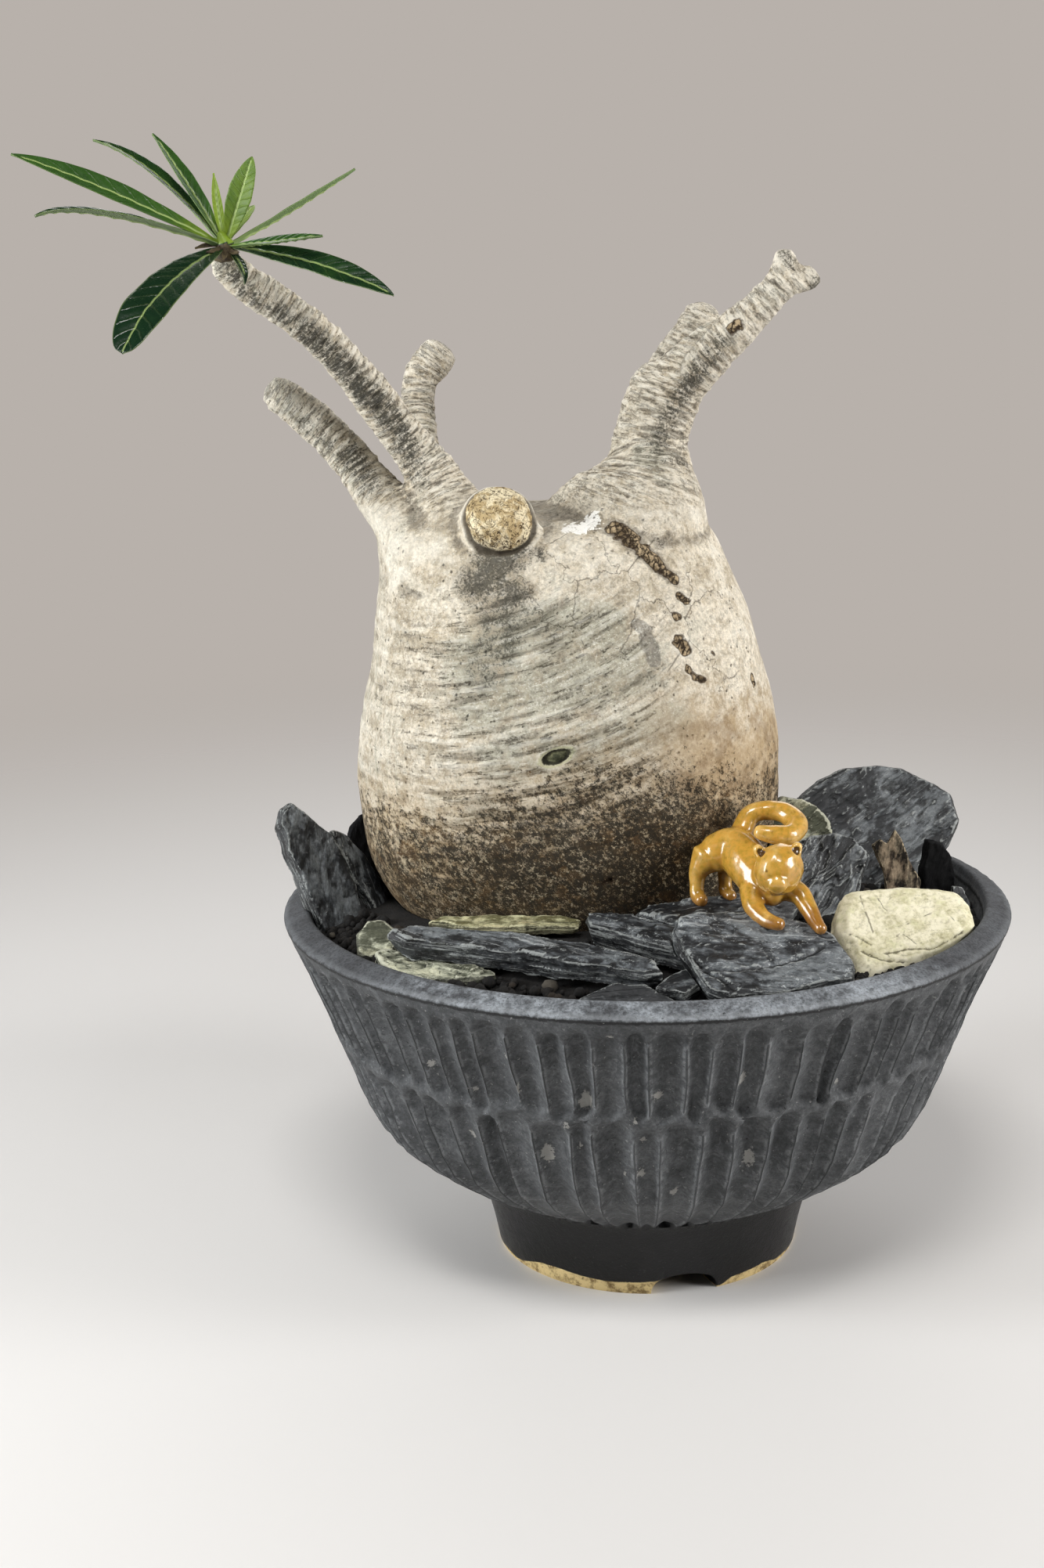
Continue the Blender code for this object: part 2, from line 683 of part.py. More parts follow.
# Lays the pieces: each is cut clear of the wall, the stem and the earlier pieces.
def lay_pieces(mats, guards):
    pieces = []
    laid = list(guards)
    for seed, name in enumerate(PIECES):
        ob = make_piece(name, seed, mats)
        for guard in laid:
            if boxes_meet(ob, guard):
                boolean(ob, guard, "DIFFERENCE")
        keep_largest(ob)
        pieces.append(ob)
        laid.append(make_piece(name, seed, mats, GAP))
    return pieces, laid[len(guards):]


# Cat: x, y, height and radius along each of its limbs

CAT = {
    "body": [(18.6, -49, 147.2, 6), (25, -50, 149.4, 6.8), (28.8, -56, 146.2, 7.2),
             (32.7, -62, 142.4, 6.8), (36, -66, 140.2, 5.4)],
    "hind_left": [(14.6, -54.2, 134, 1.8), (13.4, -51.5, 134.8, 2.1), (13.3, -50.4, 138, 1.9),
                  (13.6, -49.6, 142, 2.5), (17, -49, 146.4, 5)],
    "hind_right": [(24.2, -50.6, 134, 1.8), (22.8, -48, 134.8, 2.1), (22.6, -46.8, 138, 1.9),
                   (22.8, -46, 142, 2.6), (23, -47, 146.4, 5)],
    "fore_left": [(36.2, -78.6, 133.4, 1.8), (33.2, -76.2, 133.8, 2.1), (30.6, -72.8, 134.8, 2.4),
                  (29, -69, 137, 2.9), (29.6, -64, 140.5, 3.8)],
    "fore_right": [(48.6, -78, 131.4, 1.7), (47.2, -74.6, 132.8, 2), (45.6, -70.4, 135.8, 2.4),
                   (43, -66, 139.4, 3), (38, -64, 141, 4)],
    "neck": [(33.5, -64, 144, 5.4), (36, -69, 146.8, 6)],
    "head": [(36, -71, 148.9, 7.8), (36.6, -73, 148.7, 7.9)],
    "muzzle": [(35.6, -73, 147.2, 5), (35, -78.6, 145.8, 3.2)],
    "ear_left": [(29.8, -70.6, 155.2, 1.5), (31.8, -71.2, 152.4, 2.5)],
    "ear_right": [(42.2, -70.8, 155.8, 1.5), (40.6, -71.4, 153, 2.5)],
    "tail": [(27, -47, 151, 4), (29, -45, 156, 3.1), (31, -44, 158.7, 2.9),
             (35.5, -43.5, 159.9, 2.8), (41.1, -45.5, 159.6, 3), (44.4, -50.5, 157, 3.2),
             (41.2, -56, 155.2, 3), (35.5, -57.6, 156, 2.6), (31.6, -57, 156.6, 2)],
}


def make_cat(mat):
    shells = [stack(tube_rings(rows, 16)) for rows in CAT.values()]
    verts, faces = join_shells(shells)
    cat = add_object("cat", verts, faces, mat)
    skin(cat, CAT_VOXEL, 4, CAT_KEEP)
    cat.data.shade_smooth()
    return cat


# Soil: fills the pot to a low mound that rises toward the stem

def mound(x, y):
    away = math.hypot(x + 25, y - 3)
    share = min(max((108 - away) / 50, 0.0), 1.0)
    ripple = 0.5 * math.sin(0.21 * x + 1.3) * math.sin(0.19 * y + 0.4)
    return SOIL_EDGE + SOIL_RISE * share * share * (3 - 2 * share) + ripple


def make_soil(mat, guards):
    count = 36
    rings = [circle(r - 1.0, z, count) for z, r in ((28.0, 46.0), (37.0, 63.0))]
    rings += [circle(inside_radius(z) - GAP - 0.2, z, count) for z in (47, 60, 80, 100)]
    edge = inside_radius(SOIL_EDGE) - GAP - 0.2
    for r in (edge, edge - 10, edge - 24, edge - 42, edge - 64, edge - 92):
        rings.append([(x, y, mound(x, y)) for x, y, _ in circle(r, 0, count)])
    verts, faces = stack(rings)
    soil = add_object("soil", verts, faces, mat, 30)
    for guard in guards:
        if boxes_meet(soil, guard):
            boolean(soil, guard, "DIFFERENCE")
            keep_largest(soil)
    return soil


def main():
    clear_scene()
    mats = {
        "glaze": material("pot_glaze", (0.035, 0.04, 0.046), 0.62),
        "plastic": material("drain_plastic", (0.02, 0.02, 0.022), 0.6),
        "soil": material("soil_granules", (0.03, 0.024, 0.02), 0.95),
        "stem": material("stem_bark", (0.42, 0.37, 0.29), 0.8),
        "leaf": material("leaf_green", (0.06, 0.16, 0.04), 0.42),
        "slate": material("slate_grey", (0.045, 0.052, 0.058), 0.6),
        "green": material("slate_green", (0.16, 0.18, 0.12), 0.75),
        "olive": material("slate_olive", (0.3, 0.3, 0.14), 0.7),
        "cream": material("stone_cream", (0.62, 0.6, 0.44), 0.85),
        "bark": material("bark_wood", (0.16, 0.11, 0.08), 0.85),
        "coal": material("charcoal_black", (0.012, 0.012, 0.013), 0.7),
        "cat": material("cat_glaze", (0.45, 0.23, 0.03), 0.18),
    }
    pot = make_pot(mats["glaze"])
    drain = make_drain_mesh(mats["plastic"])
    stem = make_stem(mats["stem"])
    wall_guard = make_wall_guard(mats["glaze"])
    stem_guard = grown_copy(stem, "stem_guard", GAP + 0.1)
    rosette = make_rosette(mats["leaf"])
    boolean(rosette, stem_guard, "DIFFERENCE")
    keep_largest(rosette)
    pieces, piece_guards = lay_pieces(mats, [wall_guard, stem_guard])
    cat = make_cat(mats["cat"])
    for guard in piece_guards:
        if boxes_meet(cat, guard):
            boolean(cat, guard, "DIFFERENCE")
    keep_largest(cat)
    stem_plug = make_stem_plug(mats["stem"])
    soil = make_soil(mats["soil"], [stem_plug] + piece_guards)
    for guard in [wall_guard, stem_guard, stem_plug] + piece_guards:
        remove_object(guard)

    parts = [pot, drain, soil, stem, rosette, cat] + pieces
    boxes = [box_of(ob) for ob in parts]
    low = [min(box[0][i] for box in boxes) for i in range(3)]
    high = [max(box[1][i] for box in boxes) for i in range(3)]
    stand = bpy.data.objects.new("stand", None)
    bpy.context.scene.collection.objects.link(stand)
    stand.location = (-(low[0] + high[0]) / 2, -(low[1] + high[1]) / 2, -low[2])
    for ob in parts:
        ob.parent = stand


main()
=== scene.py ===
import math
import random
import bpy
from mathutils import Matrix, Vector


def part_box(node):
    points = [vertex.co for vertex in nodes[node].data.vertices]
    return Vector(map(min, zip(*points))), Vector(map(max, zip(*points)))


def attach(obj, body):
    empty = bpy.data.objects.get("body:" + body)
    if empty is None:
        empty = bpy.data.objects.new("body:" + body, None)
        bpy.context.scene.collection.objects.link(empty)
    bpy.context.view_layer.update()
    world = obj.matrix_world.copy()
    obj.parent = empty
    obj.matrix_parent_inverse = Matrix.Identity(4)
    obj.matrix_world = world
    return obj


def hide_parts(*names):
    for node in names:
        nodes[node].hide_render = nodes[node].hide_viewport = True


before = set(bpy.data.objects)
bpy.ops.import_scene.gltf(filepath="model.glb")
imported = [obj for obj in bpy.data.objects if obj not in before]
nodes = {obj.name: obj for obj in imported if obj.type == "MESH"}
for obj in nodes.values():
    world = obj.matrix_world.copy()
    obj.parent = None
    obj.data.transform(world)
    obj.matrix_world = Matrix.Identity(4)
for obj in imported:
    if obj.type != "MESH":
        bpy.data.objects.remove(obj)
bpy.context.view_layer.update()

from types import SimpleNamespace

import bmesh
import bpy
import numpy as np
from mathutils import Matrix, Vector
from mathutils.bvhtree import BVHTree

# Looks of a potted pachypodium: a swollen, pruned stem in a carved and footed pot, dressed
# with slates, and a small glazed cat on them. Shapes are worked out in millimetres round
# the pot's axis, with the front at -Y, and go into the meshes in the frame's metres.

mm = 0.001
potLow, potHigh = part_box("pot")
potAxis = np.array([(potLow.x + potHigh.x) / 2, (potLow.y + potHigh.y) / 2, potLow.z])


# Numbers over whole arrays

def ramp(value, low, high):   # 0 below low, 1 above high, 3t^2 - 2t^3 between
    t = np.clip((value - low) / (high - low), 0.0, 1.0)
    return t * t * (3 - 2 * t)


# Gradient noise: seeded directions stand at the corners of unit cells, and their dot products
# with the way to the point are blended by 6t^5 - 15t^4 + 10t^3. About -1 to 1.
def noise(points, seed=0):
    draw = np.random.default_rng(seed)
    order = draw.permutation(256)
    ways = draw.normal(size=(256, 3))
    ways /= np.linalg.norm(ways, axis=1)[:, None]
    cell = np.floor(points).astype(int)
    part = points - cell
    ease = part ** 3 * (part * (part * 6 - 15) + 10)
    total = np.zeros(len(points))
    for corner in np.ndindex(2, 2, 2):
        spot = (cell + corner) & 255
        pick = order[(order[(order[spot[:, 0]] + spot[:, 1]) & 255] + spot[:, 2]) & 255]
        weight = np.prod(np.where(corner, ease, 1 - ease), axis=1)
        total += weight * (ways[pick] * (part - corner)).sum(axis=1)
    return total * 1.6


# Octaves of noise, each twice as fine and half as strong.
def roughness(points, octaves=3, seed=0):
    return sum(noise(points * 2 ** k, seed + k) / 2 ** k for k in range(octaves))


def unit(rows):
    return rows / np.maximum(np.linalg.norm(rows, axis=-1, keepdims=True), 1e-12)


# Catmull-Rom: each stretch is a cubic through its two rows, with their neighbours' slopes.
def smoothPath(rows, steps):
    rows = np.asarray(rows, float)
    ends = np.vstack([rows[:1], rows, rows[-1:]])
    a, b, c, d = (ends[k:len(rows) - 1 + k, None] for k in range(4))
    t = (np.arange(steps) / steps)[None, :, None]
    curve = b * 2 + (c - a) * t + (2 * a - 5 * b + 4 * c - d) * t ** 2 + (3 * b - a - 3 * c + d) * t ** 3
    return np.vstack([curve.reshape(-1, rows.shape[1]) / 2, rows[-1:]])


# Meshes from arrays

# Quads between the rows of a grid of points whose rows are closed loops.
def loopFaces(rows, around):
    here = np.arange(rows * around).reshape(rows, around)
    ahead = np.roll(here, -1, axis=1)
    return np.stack([here[:-1], ahead[:-1], ahead[1:], here[1:]], axis=-1).reshape(-1, 4)


# A closed solid from loops: its ends are fans round the middles of the first and last loop.
def closedLoops(loops):
    rows, around = loops.shape[:2]
    points = np.vstack([loops.reshape(-1, 3), loops[0].mean(axis=0), loops[-1].mean(axis=0)])
    first = np.arange(around)
    last = first + (rows - 1) * around
    fans = [
        np.stack([np.roll(first, -1), first, np.full(around, rows * around)], axis=-1),
        np.stack([last, np.roll(last, -1), np.full(around, rows * around + 1)], axis=-1),
    ]
    return points, [loopFaces(rows, around), *fans]


# Several solids as one: their points and faces one after another.
def together(solids):
    points, faces, start = [], [], 0
    for some, sets in solids:
        points.append(some)
        faces += [part + start for part in sets]
        start += len(some)
    return np.vstack(points), faces


def cornersOf(faceSets):
    corners = np.concatenate([part.ravel() for part in faceSets])
    sizes = np.concatenate([np.full(len(part), part.shape[1]) for part in faceSets])
    return corners, sizes


# A mesh from arrays in mm: the corners of its faces one after another, and each face's count.
def meshOf(name, points, corners, sizes):
    mesh = bpy.data.meshes.new(name)
    mesh.vertices.add(len(points))
    mesh.loops.add(len(corners))
    mesh.polygons.add(len(sizes))
    mesh.vertices.foreach_set("co", (points * mm + potAxis).astype(np.float32).ravel())
    mesh.loops.foreach_set("vertex_index", corners.astype(np.int32))
    starts = np.concatenate([[0], np.cumsum(sizes)[:-1]])
    mesh.polygons.foreach_set("loop_start", starts.astype(np.int32))
    mesh.update(calc_edges=True)
    mesh.validate()
    return mesh


def readMesh(mesh):
    points = np.empty(len(mesh.vertices) * 3)
    mesh.vertices.foreach_get("co", points)
    corners = np.empty(len(mesh.loops), np.int32)
    mesh.loops.foreach_get("vertex_index", corners)
    sizes = np.empty(len(mesh.polygons), np.int32)
    mesh.polygons.foreach_get("loop_total", sizes)
    return (points.reshape(-1, 3) - potAxis) / mm, corners, sizes


def normalsOf(name, points, corners, sizes):
    mesh = meshOf(name, points, corners, sizes)
    normals = np.empty(len(points) * 3)
    mesh.vertex_normals.foreach_get("vector", normals)
    bpy.data.meshes.remove(mesh)
    return normals.reshape(-1, 3)


def linked(name, data):
    ob = bpy.data.objects.new(name, data)
    bpy.context.scene.collection.objects.link(ob)
    return ob


# One even skin over all that a mesh holds: a voxel remesh, then smoothing.
def voxelSkin(mesh, voxel, smoothing):
    ob = linked("skin", mesh)
    cubes = ob.modifiers.new("skin", "REMESH")
    cubes.mode = "VOXEL"
    cubes.voxel_size = voxel * mm
    soft = ob.modifiers.new("soften", "SMOOTH")
    soft.factor = 0.5
    soft.iterations = smoothing
    done = bpy.data.meshes.new_from_object(ob.evaluated_get(bpy.context.evaluated_depsgraph_get()))
    bpy.data.objects.remove(ob)
    arrays = readMesh(done)
    bpy.data.meshes.remove(done)
    bpy.data.meshes.remove(mesh)
    return arrays


# How far each point stands out from its neighbours' places after they are averaged a few
# times: over 0 on ridges and edges.
def standing(points, corners, sizes, normals, rounds):
    following = np.arange(len(corners)) + 1
    ends = np.cumsum(sizes)
    following[ends - 1] = ends - sizes
    nextOnes = corners[following]
    pairs = np.concatenate([np.stack([corners, nextOnes], 1), np.stack([nextOnes, corners], 1)])
    count = np.bincount(pairs[:, 0], minlength=len(points))[:, None]
    calm = points
    for _ in range(rounds):
        total = [np.bincount(pairs[:, 0], calm[pairs[:, 1], k], len(points)) for k in range(3)]
        calm = (calm + np.stack(total, axis=1) / count) / 2
    return ((points - calm) * normals).sum(axis=1)


# Cuts the chosen quads in four; a neighbour takes the new points on its edges as corners.
def splitQuads(points, quads, chosen):
    quads = quads.astype(np.int64)
    ends = np.stack([quads, np.roll(quads, -1, axis=1)], axis=-1)
    keys = ends.min(axis=-1) * len(points) + ends.max(axis=-1)
    edges, which = np.unique(keys, return_inverse=True)
    which = which.reshape(keys.shape)
    cut = np.zeros(len(edges), bool)
    cut[which[chosen]] = True
    number = np.where(cut, len(points) + np.cumsum(cut) - 1, -1)
    halves = (points[edges[cut] // len(points)] + points[edges[cut] % len(points)]) / 2
    middles = points[quads[chosen]].mean(axis=1)
    centre = len(points) + len(halves) + np.arange(len(middles))
    q, m = quads[chosen], number[which[chosen]]
    small = [np.stack([q[:, k], m[:, k], centre, m[:, k - 1]], axis=-1) for k in range(4)]
    rest = np.stack([quads[~chosen], number[which[~chosen]]], axis=-1).reshape(-1, 8)
    real = rest >= 0
    corners = np.concatenate([np.concatenate(small).ravel(), rest[real]])
    sizes = np.concatenate([np.full(len(small[0]) * 4, 4), real.sum(axis=1)])
    return np.vstack([points, halves, middles]), corners, sizes


# A piece for the part: it carries values for its material, rides on the root body and stands
# for the CAD nodes that it replaces.
def addPiece(name, points, corners, sizes, material, slot, stands=(), values=None, sharp=None):
    mesh = meshOf(name, points, corners, sizes)
    for key, numbers in (values or {}).items():
        numbers = np.asarray(numbers, np.float32)
        kind, field = ("FLOAT_VECTOR", "vector") if numbers.ndim == 2 else ("FLOAT", "value")
        mesh.attributes.new(key, kind, "POINT").data.foreach_set(field, numbers.ravel())
    mesh.shade_smooth()
    if sharp:
        mesh.set_sharp_from_angle(angle=math.radians(sharp))
    mesh.materials.append(material)
    ob = linked(name, mesh)
    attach(ob, "root")
    if stands:
        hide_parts(*stands)
    return ob


# Materials

def colour(red, green, blue):   # screen values 0 to 255, made linear
    parts = [c / 255 for c in (red, green, blue)]
    return tuple(c / 12.92 if c <= 0.04045 else ((c + 0.055) / 1.055) ** 2.4 for c in parts) + (1.0,)


# A value or link in a node tree: operators on it add the Math nodes that work it out.
class Wire:
    def __init__(self, maker, socket):
        self.maker = maker
        self.socket = socket

    def maths(self, operation, *others):
        return self.maker.node("Math", dict(enumerate(others)), operation=operation)

    def __add__(self, other):
        if self.socket.type == "VECTOR":
            return self.maker.node("VectorMath", {0: self, 1: other}, operation="ADD")
        return self.maths("ADD", self, other)

    def __sub__(self, other):
        return self.maths("SUBTRACT", self, other)

    def __rsub__(self, other):
        return self.maths("SUBTRACT", other, self)

    def __mul__(self, other):
        return self.maths("MULTIPLY", self, other)

    def __pow__(self, other):
        return self.maths("POWER", self, other)

    def __abs__(self):
        return self.maths("ABSOLUTE", self)

    def highest(self, other):
        return self.maths("MAXIMUM", self, other)

    __radd__ = __add__
    __rmul__ = __mul__


# The nodes of a material or a world.
class Maker:
    def __init__(self, tree):
        self.tree = tree

    # Any node: its type, the values or links of its sockets, and its settings, set first.
    def node(self, kind, values=None, out=0, **settings):
        made = self.tree.nodes.new("ShaderNode" + kind)
        for key, value in settings.items():
            setattr(made, key, value)
        for key, value in (values or {}).items():
            self.put(made.inputs[key], value)
        return Wire(self, made.outputs[out])

    def put(self, socket, value):
        if isinstance(value, Wire):
            self.tree.links.new(value.socket, socket)
        else:
            socket.default_value = value

    def attribute(self, name, out="Fac"):
        return self.node("Attribute", attribute_name=name, out=out)

    # The place on the object, in millimetres round the pot's axis.
    def place(self):
        where = self.node("TexCoord", out="Object")
        moved = self.node("VectorMath", {0: where, 1: tuple(potAxis)}, operation="SUBTRACT")
        return self.node("VectorMath", {0: moved, "Scale": 1 / mm}, operation="SCALE")

    def stretched(self, vector, scales):
        return self.node("VectorMath", {0: vector, 1: scales}, operation="MULTIPLY")

    def joined(self, x, y, z):
        return self.node("CombineXYZ", {0: x, 1: y, 2: z})

    def parts(self, vector):
        split = self.node("SeparateXYZ", {0: vector}).socket.node
        return [Wire(self, socket) for socket in split.outputs]

    # Noise whose features are about size millimetres, from 0 to 1 with its middle at 0.5.
    def grain(self, vector, size, detail=4.0, rough=0.6, bend=0.0):
        values = {"Vector": vector, "Scale": 1 / size, "Detail": detail, "Roughness": rough,
                  "Distortion": bend}
        return self.node("TexNoise", values)

    # Distances in a mesh of cells about size millimetres wide, as shares of that size.
    def cells(self, vector, size, feature="F1"):
        return self.node("TexVoronoi", {"Vector": vector, "Scale": 1 / size}, feature=feature)

    def rise(self, value, low, high):   # smooth step from 0 at low to 1 at high
        values = {"Value": value, "From Min": low, "From Max": high}
        return self.node("MapRange", values, interpolation_type="SMOOTHSTEP")

    def fall(self, value, low, high):   # smooth step from 1 at low to 0 at high
        return 1 - self.rise(value, low, high)

    def blend(self, share, first, second):
        return self.node("Mix", {0: share, 6: first, 7: second}, out=2, data_type="RGBA")

    def dim(self, shade, factor):       # a colour times a number
        return self.node("VectorMath", {0: shade, "Scale": factor}, operation="SCALE")


# A material whose colour, tone, is built up in coats.
class Finish(Maker):
    def __init__(self, name, tone=None, **constants):
        self.material = bpy.data.materials.new(name)
        self.material.use_nodes = True
        super().__init__(self.material.node_tree)
        self.shader = self.tree.nodes["Principled BSDF"]
        self.tone = tone
        for socket, value in constants.items():
            self.shader.inputs[socket.replace("_", " ")].default_value = value

    def coat(self, share, shade):
        self.tone = self.blend(share, self.tone, shade)

    def bump(self, height, depth, strength=1.0):
        return self.node("Bump", {"Strength": strength, "Distance": depth * mm, "Height": height})

    def done(self, **links):
        for socket, value in {"Base_Color": self.tone, **links}.items():
            self.put(self.shader.inputs[socket.replace("_", " ")], value)
        return self.material


# Stem

stem = {
    "voxel": 1.58,           # mm, the fineness of the swollen part; details are twice as fine
    "smoothing": 11,
    "ringHeight": 0.42,      # mm, bark rings on the branches
    "wrinkleHeight": 0.48,   # mm, growth wrinkles across the front
    "lump": 0.7,             # mm, soft unevenness of the swollen part
    "sawnRadius": 11.3,      # mm, the sawn face, with its axis and how far it lies off its stub
    "sawnAxis": (0.0, -2.5, 2.0),
    "sawnOffset": (0.6, -0.8, -1.0),
    "corkGroove": 0.9,       # mm, groove between the sawn face and its bark ring
    "lightBark": colour(220, 211, 193),
    "darkBark": colour(180, 168, 146),
    "warmBark": colour(200, 182, 152),
    "greenBark": colour(136, 138, 122),
    "greyBark": colour(112, 108, 100),
    "dullBark": colour(140, 132, 114),
    "shadow": colour(116, 110, 92),
    "crest": colour(224, 216, 200),
    # the next colour also serves as a painted highlight on the wrinkles' crests
    "flake": colour(248, 246, 236),
    "white": colour(254, 252, 246),
    "line": colour(62, 54, 42),
    "stain": colour(40, 38, 31),
    "stainLight": colour(68, 65, 54),
    "soot": colour(30, 27, 20),
    "earth": colour(84, 62, 38),
    "gold": colour(164, 138, 98),
    "burnt": colour(112, 88, 58),
    "tuft": colour(134, 104, 66),
    "speck": colour(206, 192, 162),
    "shred": colour(46, 35, 22),
    "flesh": colour(180, 160, 128),
    "fleshDark": colour(100, 84, 60),
    "scarEdge": colour(54, 38, 24),
    "knotRim": colour(168, 168, 128),
    "knotLight": colour(112, 112, 84),
    "knotDark": colour(52, 54, 38),
    "cork": colour(228, 214, 180),
    "corkDark": colour(182, 160, 118),
    "corkLine": colour(64, 44, 26),
}

# Swollen part: centre x, centre y, height, half width, half depth.
stemRows = [
    (-24, 3, 75, 30, 27), (-24, 3, 95, 43, 36), (-23.5, 3, 113, 52.5, 43),
    (-24.5, 3, 123, 59.5, 47.5), (-25, 3, 136, 65.5, 53), (-25, 3, 152, 68.5, 57),
    (-25, 3, 171, 69, 59), (-24.7, 3, 185, 67, 59), (-24.8, 3, 200, 63.6, 56),
    (-26, 3, 215, 60.5, 52), (-28.8, 3, 231, 56.5, 45), (-31.5, 2, 242, 54, 37),
    (-34, 2, 248, 46, 27), (-38, 2, 250.5, 30, 14),
]
# Branches: x, y, height and radius along each, from its tip to inside the stem.
branchRows = {
    "leafy": [
        (-127.4, -22.2, 328.6, 5), (-122.2, -20, 322.8, 5.8), (-112.3, -17, 316, 6),
        (-102.8, -15, 308.6, 5.9), (-95.4, -12, 300.8, 6.2), (-86.7, -9, 289.8, 6.6),
        (-80.1, -6, 280, 7), (-74.8, -5, 272.6, 7.1), (-67.7, -4.5, 262.8, 8.2),
        (-62.3, -7, 252.6, 11), (-57, -13, 238, 18),
    ],
    "leftStub": [
        (-116.8, 8, 287.7, 5.8), (-111.1, 8, 283.7, 6.3), (-101.2, 8, 274.8, 6.7),
        (-91.9, 6, 264.5, 7), (-84.0, 1.5, 254, 8.2), (-75, -5, 243, 10.8), (-67, -11, 231, 17),
    ],
    "backStub": [
        (-65.6, 30, 298.8, 5.2), (-70.9, 28, 291, 5.7), (-71.8, 26, 280.6, 5.7),
        (-71.4, 20, 271.5, 6), (-69, 12, 258, 7.6), (-63, 6, 242, 11.5),
    ],
    "backKnob": [(-61.8, 29, 296.6, 3.6), (-66, 29, 292, 4.2)],
    "cutStub": [
        (-46.3, -30.5, 251.2, 11.2), (-46.3, -28, 249.2, 12.2), (-46.2, -17, 241.5, 12.8),
        (-46, -6, 234, 17),
    ],
    "horn": [
        (8.6, 6, 287, 12), (5, 5, 278, 12), (2.5, 4, 268, 12.2), (2.4, 2, 263, 14.2),
        (0.8, 0, 255.5, 20.0), (-2.6, -2, 246.5, 26), (-7, 0, 234, 32),
    ],
    "hornBack": [(21.2, 19, 308, 7.2), (17.5, 17, 301.4, 7.5), (11, 13, 291, 9), (7, 8, 280, 9)],
    "hornFront": [
        (46.5, -3.5, 320.8, 4.8), (40.5, -3, 315.4, 5.4), (33.6, -2, 308.6, 6.1),
        (26.2, -0.5, 301.8, 7.4), (15, 1.5, 292.5, 9.2), (8, 4, 283, 9.5),
    ],
    "hornScar": [(29, -8.5, 306, 4.2), (27.5, -1, 304, 5.5)],
    "hornUpKnob": [(44.6, -4, 327.6, 3.8), (43.5, -3.5, 319.5, 4.4)],
    "hornEndKnob": [(53.5, -2, 320.2, 4.1), (44, -3, 319.5, 4.4)],
}
ringedBranches = ("leafy", "leftStub", "backStub", "horn", "hornBack", "hornFront")

# Each mark is a line of places on the bark, its reach in mm and its strength.
# Scars: the strength is how far they stand out.
scars = [
    ([(-9.6, -27.6, 245.6), (-5, -30.2, 242.2)], 2.9, 0.5),
    ([(-5, -30.2, 242.2), (-2.2, -31.6, 240)], 1.6, 0.4),
    ([(-2.2, -31.6, 240), (2.7, -32.9, 235.5)], 2.4, 0.5),
    ([(2.7, -32.9, 235.5), (8, -32.7, 230.6)], 1.4, 0.4),
    ([(8.9, -34.4, 225.6), (11.2, -34.8, 225)], 1.5, -0.5),
    ([(7.6, -38.8, 220.5), (8, -38.8, 220.1)], 0.8, -0.4),
    ([(8.2, -41.2, 213.2), (10.4, -42, 210.6)], 1.9, -0.6),
    ([(10.4, -43, 206), (13.4, -42.4, 202)], 0.8, -0.4),
    ([(14.4, -41.8, 201.8), (16, -41.6, 200.8)], 0.8, -0.3),
    ([(19.2, -36.4, 208.6), (20.2, -36.4, 207.8)], 0.8, -0.3),
    ([(32.6, -24.6, 197.4), (33.6, -23.9, 196.2)], 1, -0.3),
    ([(-15.6, -50.6, 139.2), (-13.6, -50.6, 139.8)], 0.9, -0.5),
    ([(28.2, -11, 306.2), (28.6, -11, 306.6)], 2.3, -0.5),
    ([(8.6, 1, 299.6), (10.2, 3, 298.6)], 1.6, -0.4),
]
stains = [
    ([(-127.5, -27, 331), (-124.5, -25.5, 325.5)], 3.4, 0.9),
    ([(-122, -25.5, 320.5), (-112.8, -22.5, 314.3), (-104.1, -20.1, 307.1)], 2.6, 0.7),
    ([(-104.1, -20.1, 307.1), (-97.3, -18.3, 301.2), (-87.1, -15.3, 289.2), (-78.5, -13, 280)], 3.7, 1),
    ([(-78.5, -13, 280), (-72.5, -9.6, 267.4), (-67.5, -9.5, 258), (-61, -15, 247)], 3.4, 0.85),
    ([(-93.1, 1, 267.8), (-89.5, -0.1, 263.1), (-82.7, -3.4, 252.2)], 3.6, 0.8),
    ([(-108, 2.5, 278), (-99, 1.5, 271)], 2.4, 0.4),
    ([(-43, -36, 240), (-47.4, -37, 237), (-51.3, -39, 230.8)], 6, 0.9),
    ([(-54.5, -38, 232), (-50.3, -38.8, 231), (-42, -41.5, 229)], 5, 0.8),
    ([(-44, -43, 225), (-36.3, -44.1, 222.2), (-30, -46.5, 217)], 4.2, 0.30),
    ([(-47.2, -41.9, 226.5), (-45, -46, 217.5), (-50, -47, 208)], 6.5, 0.5),
    ([(-33.5, -37, 241.5), (-32.5, -38, 239.5)], 1.6, 0.9),
    ([(-63, -22, 246), (-60, -24, 243.5)], 2.8, 0.75),
    ([(24, -9, 301), (15.1, -6.7, 289.2), (11.2, -6, 284.6)], 2.8, 0.85),
    ([(11.2, -6, 284.6), (6.7, -6.8, 275), (3.6, -8.8, 268.4)], 3, 0.65),
    ([(6, -10.5, 263.5), (13, -7.5, 263.5)], 2.4, 0.75),
    ([(12, 9, 292), (10, 4, 291)], 3, 0.5),
    ([(57.5, -3, 319.5), (55, -5, 316.5)], 3, 1),
    ([(43, -6.5, 329.5), (47, -6.5, 324)], 2, 0.5),
    ([(18, 20, 314), (25, 20, 314)], 2, 0.6),
    ([(-66, 22, 278), (-66, 24, 284)], 2.6, 0.4),
    ([(-20, 50, 226), (4, 44, 214)], 9, 0.6),
    ([(38, 18, 216), (33, 30, 205)], 7, 0.45),
    ([(-86, 20, 205), (-80, 32, 196)], 7, 0.45),
]
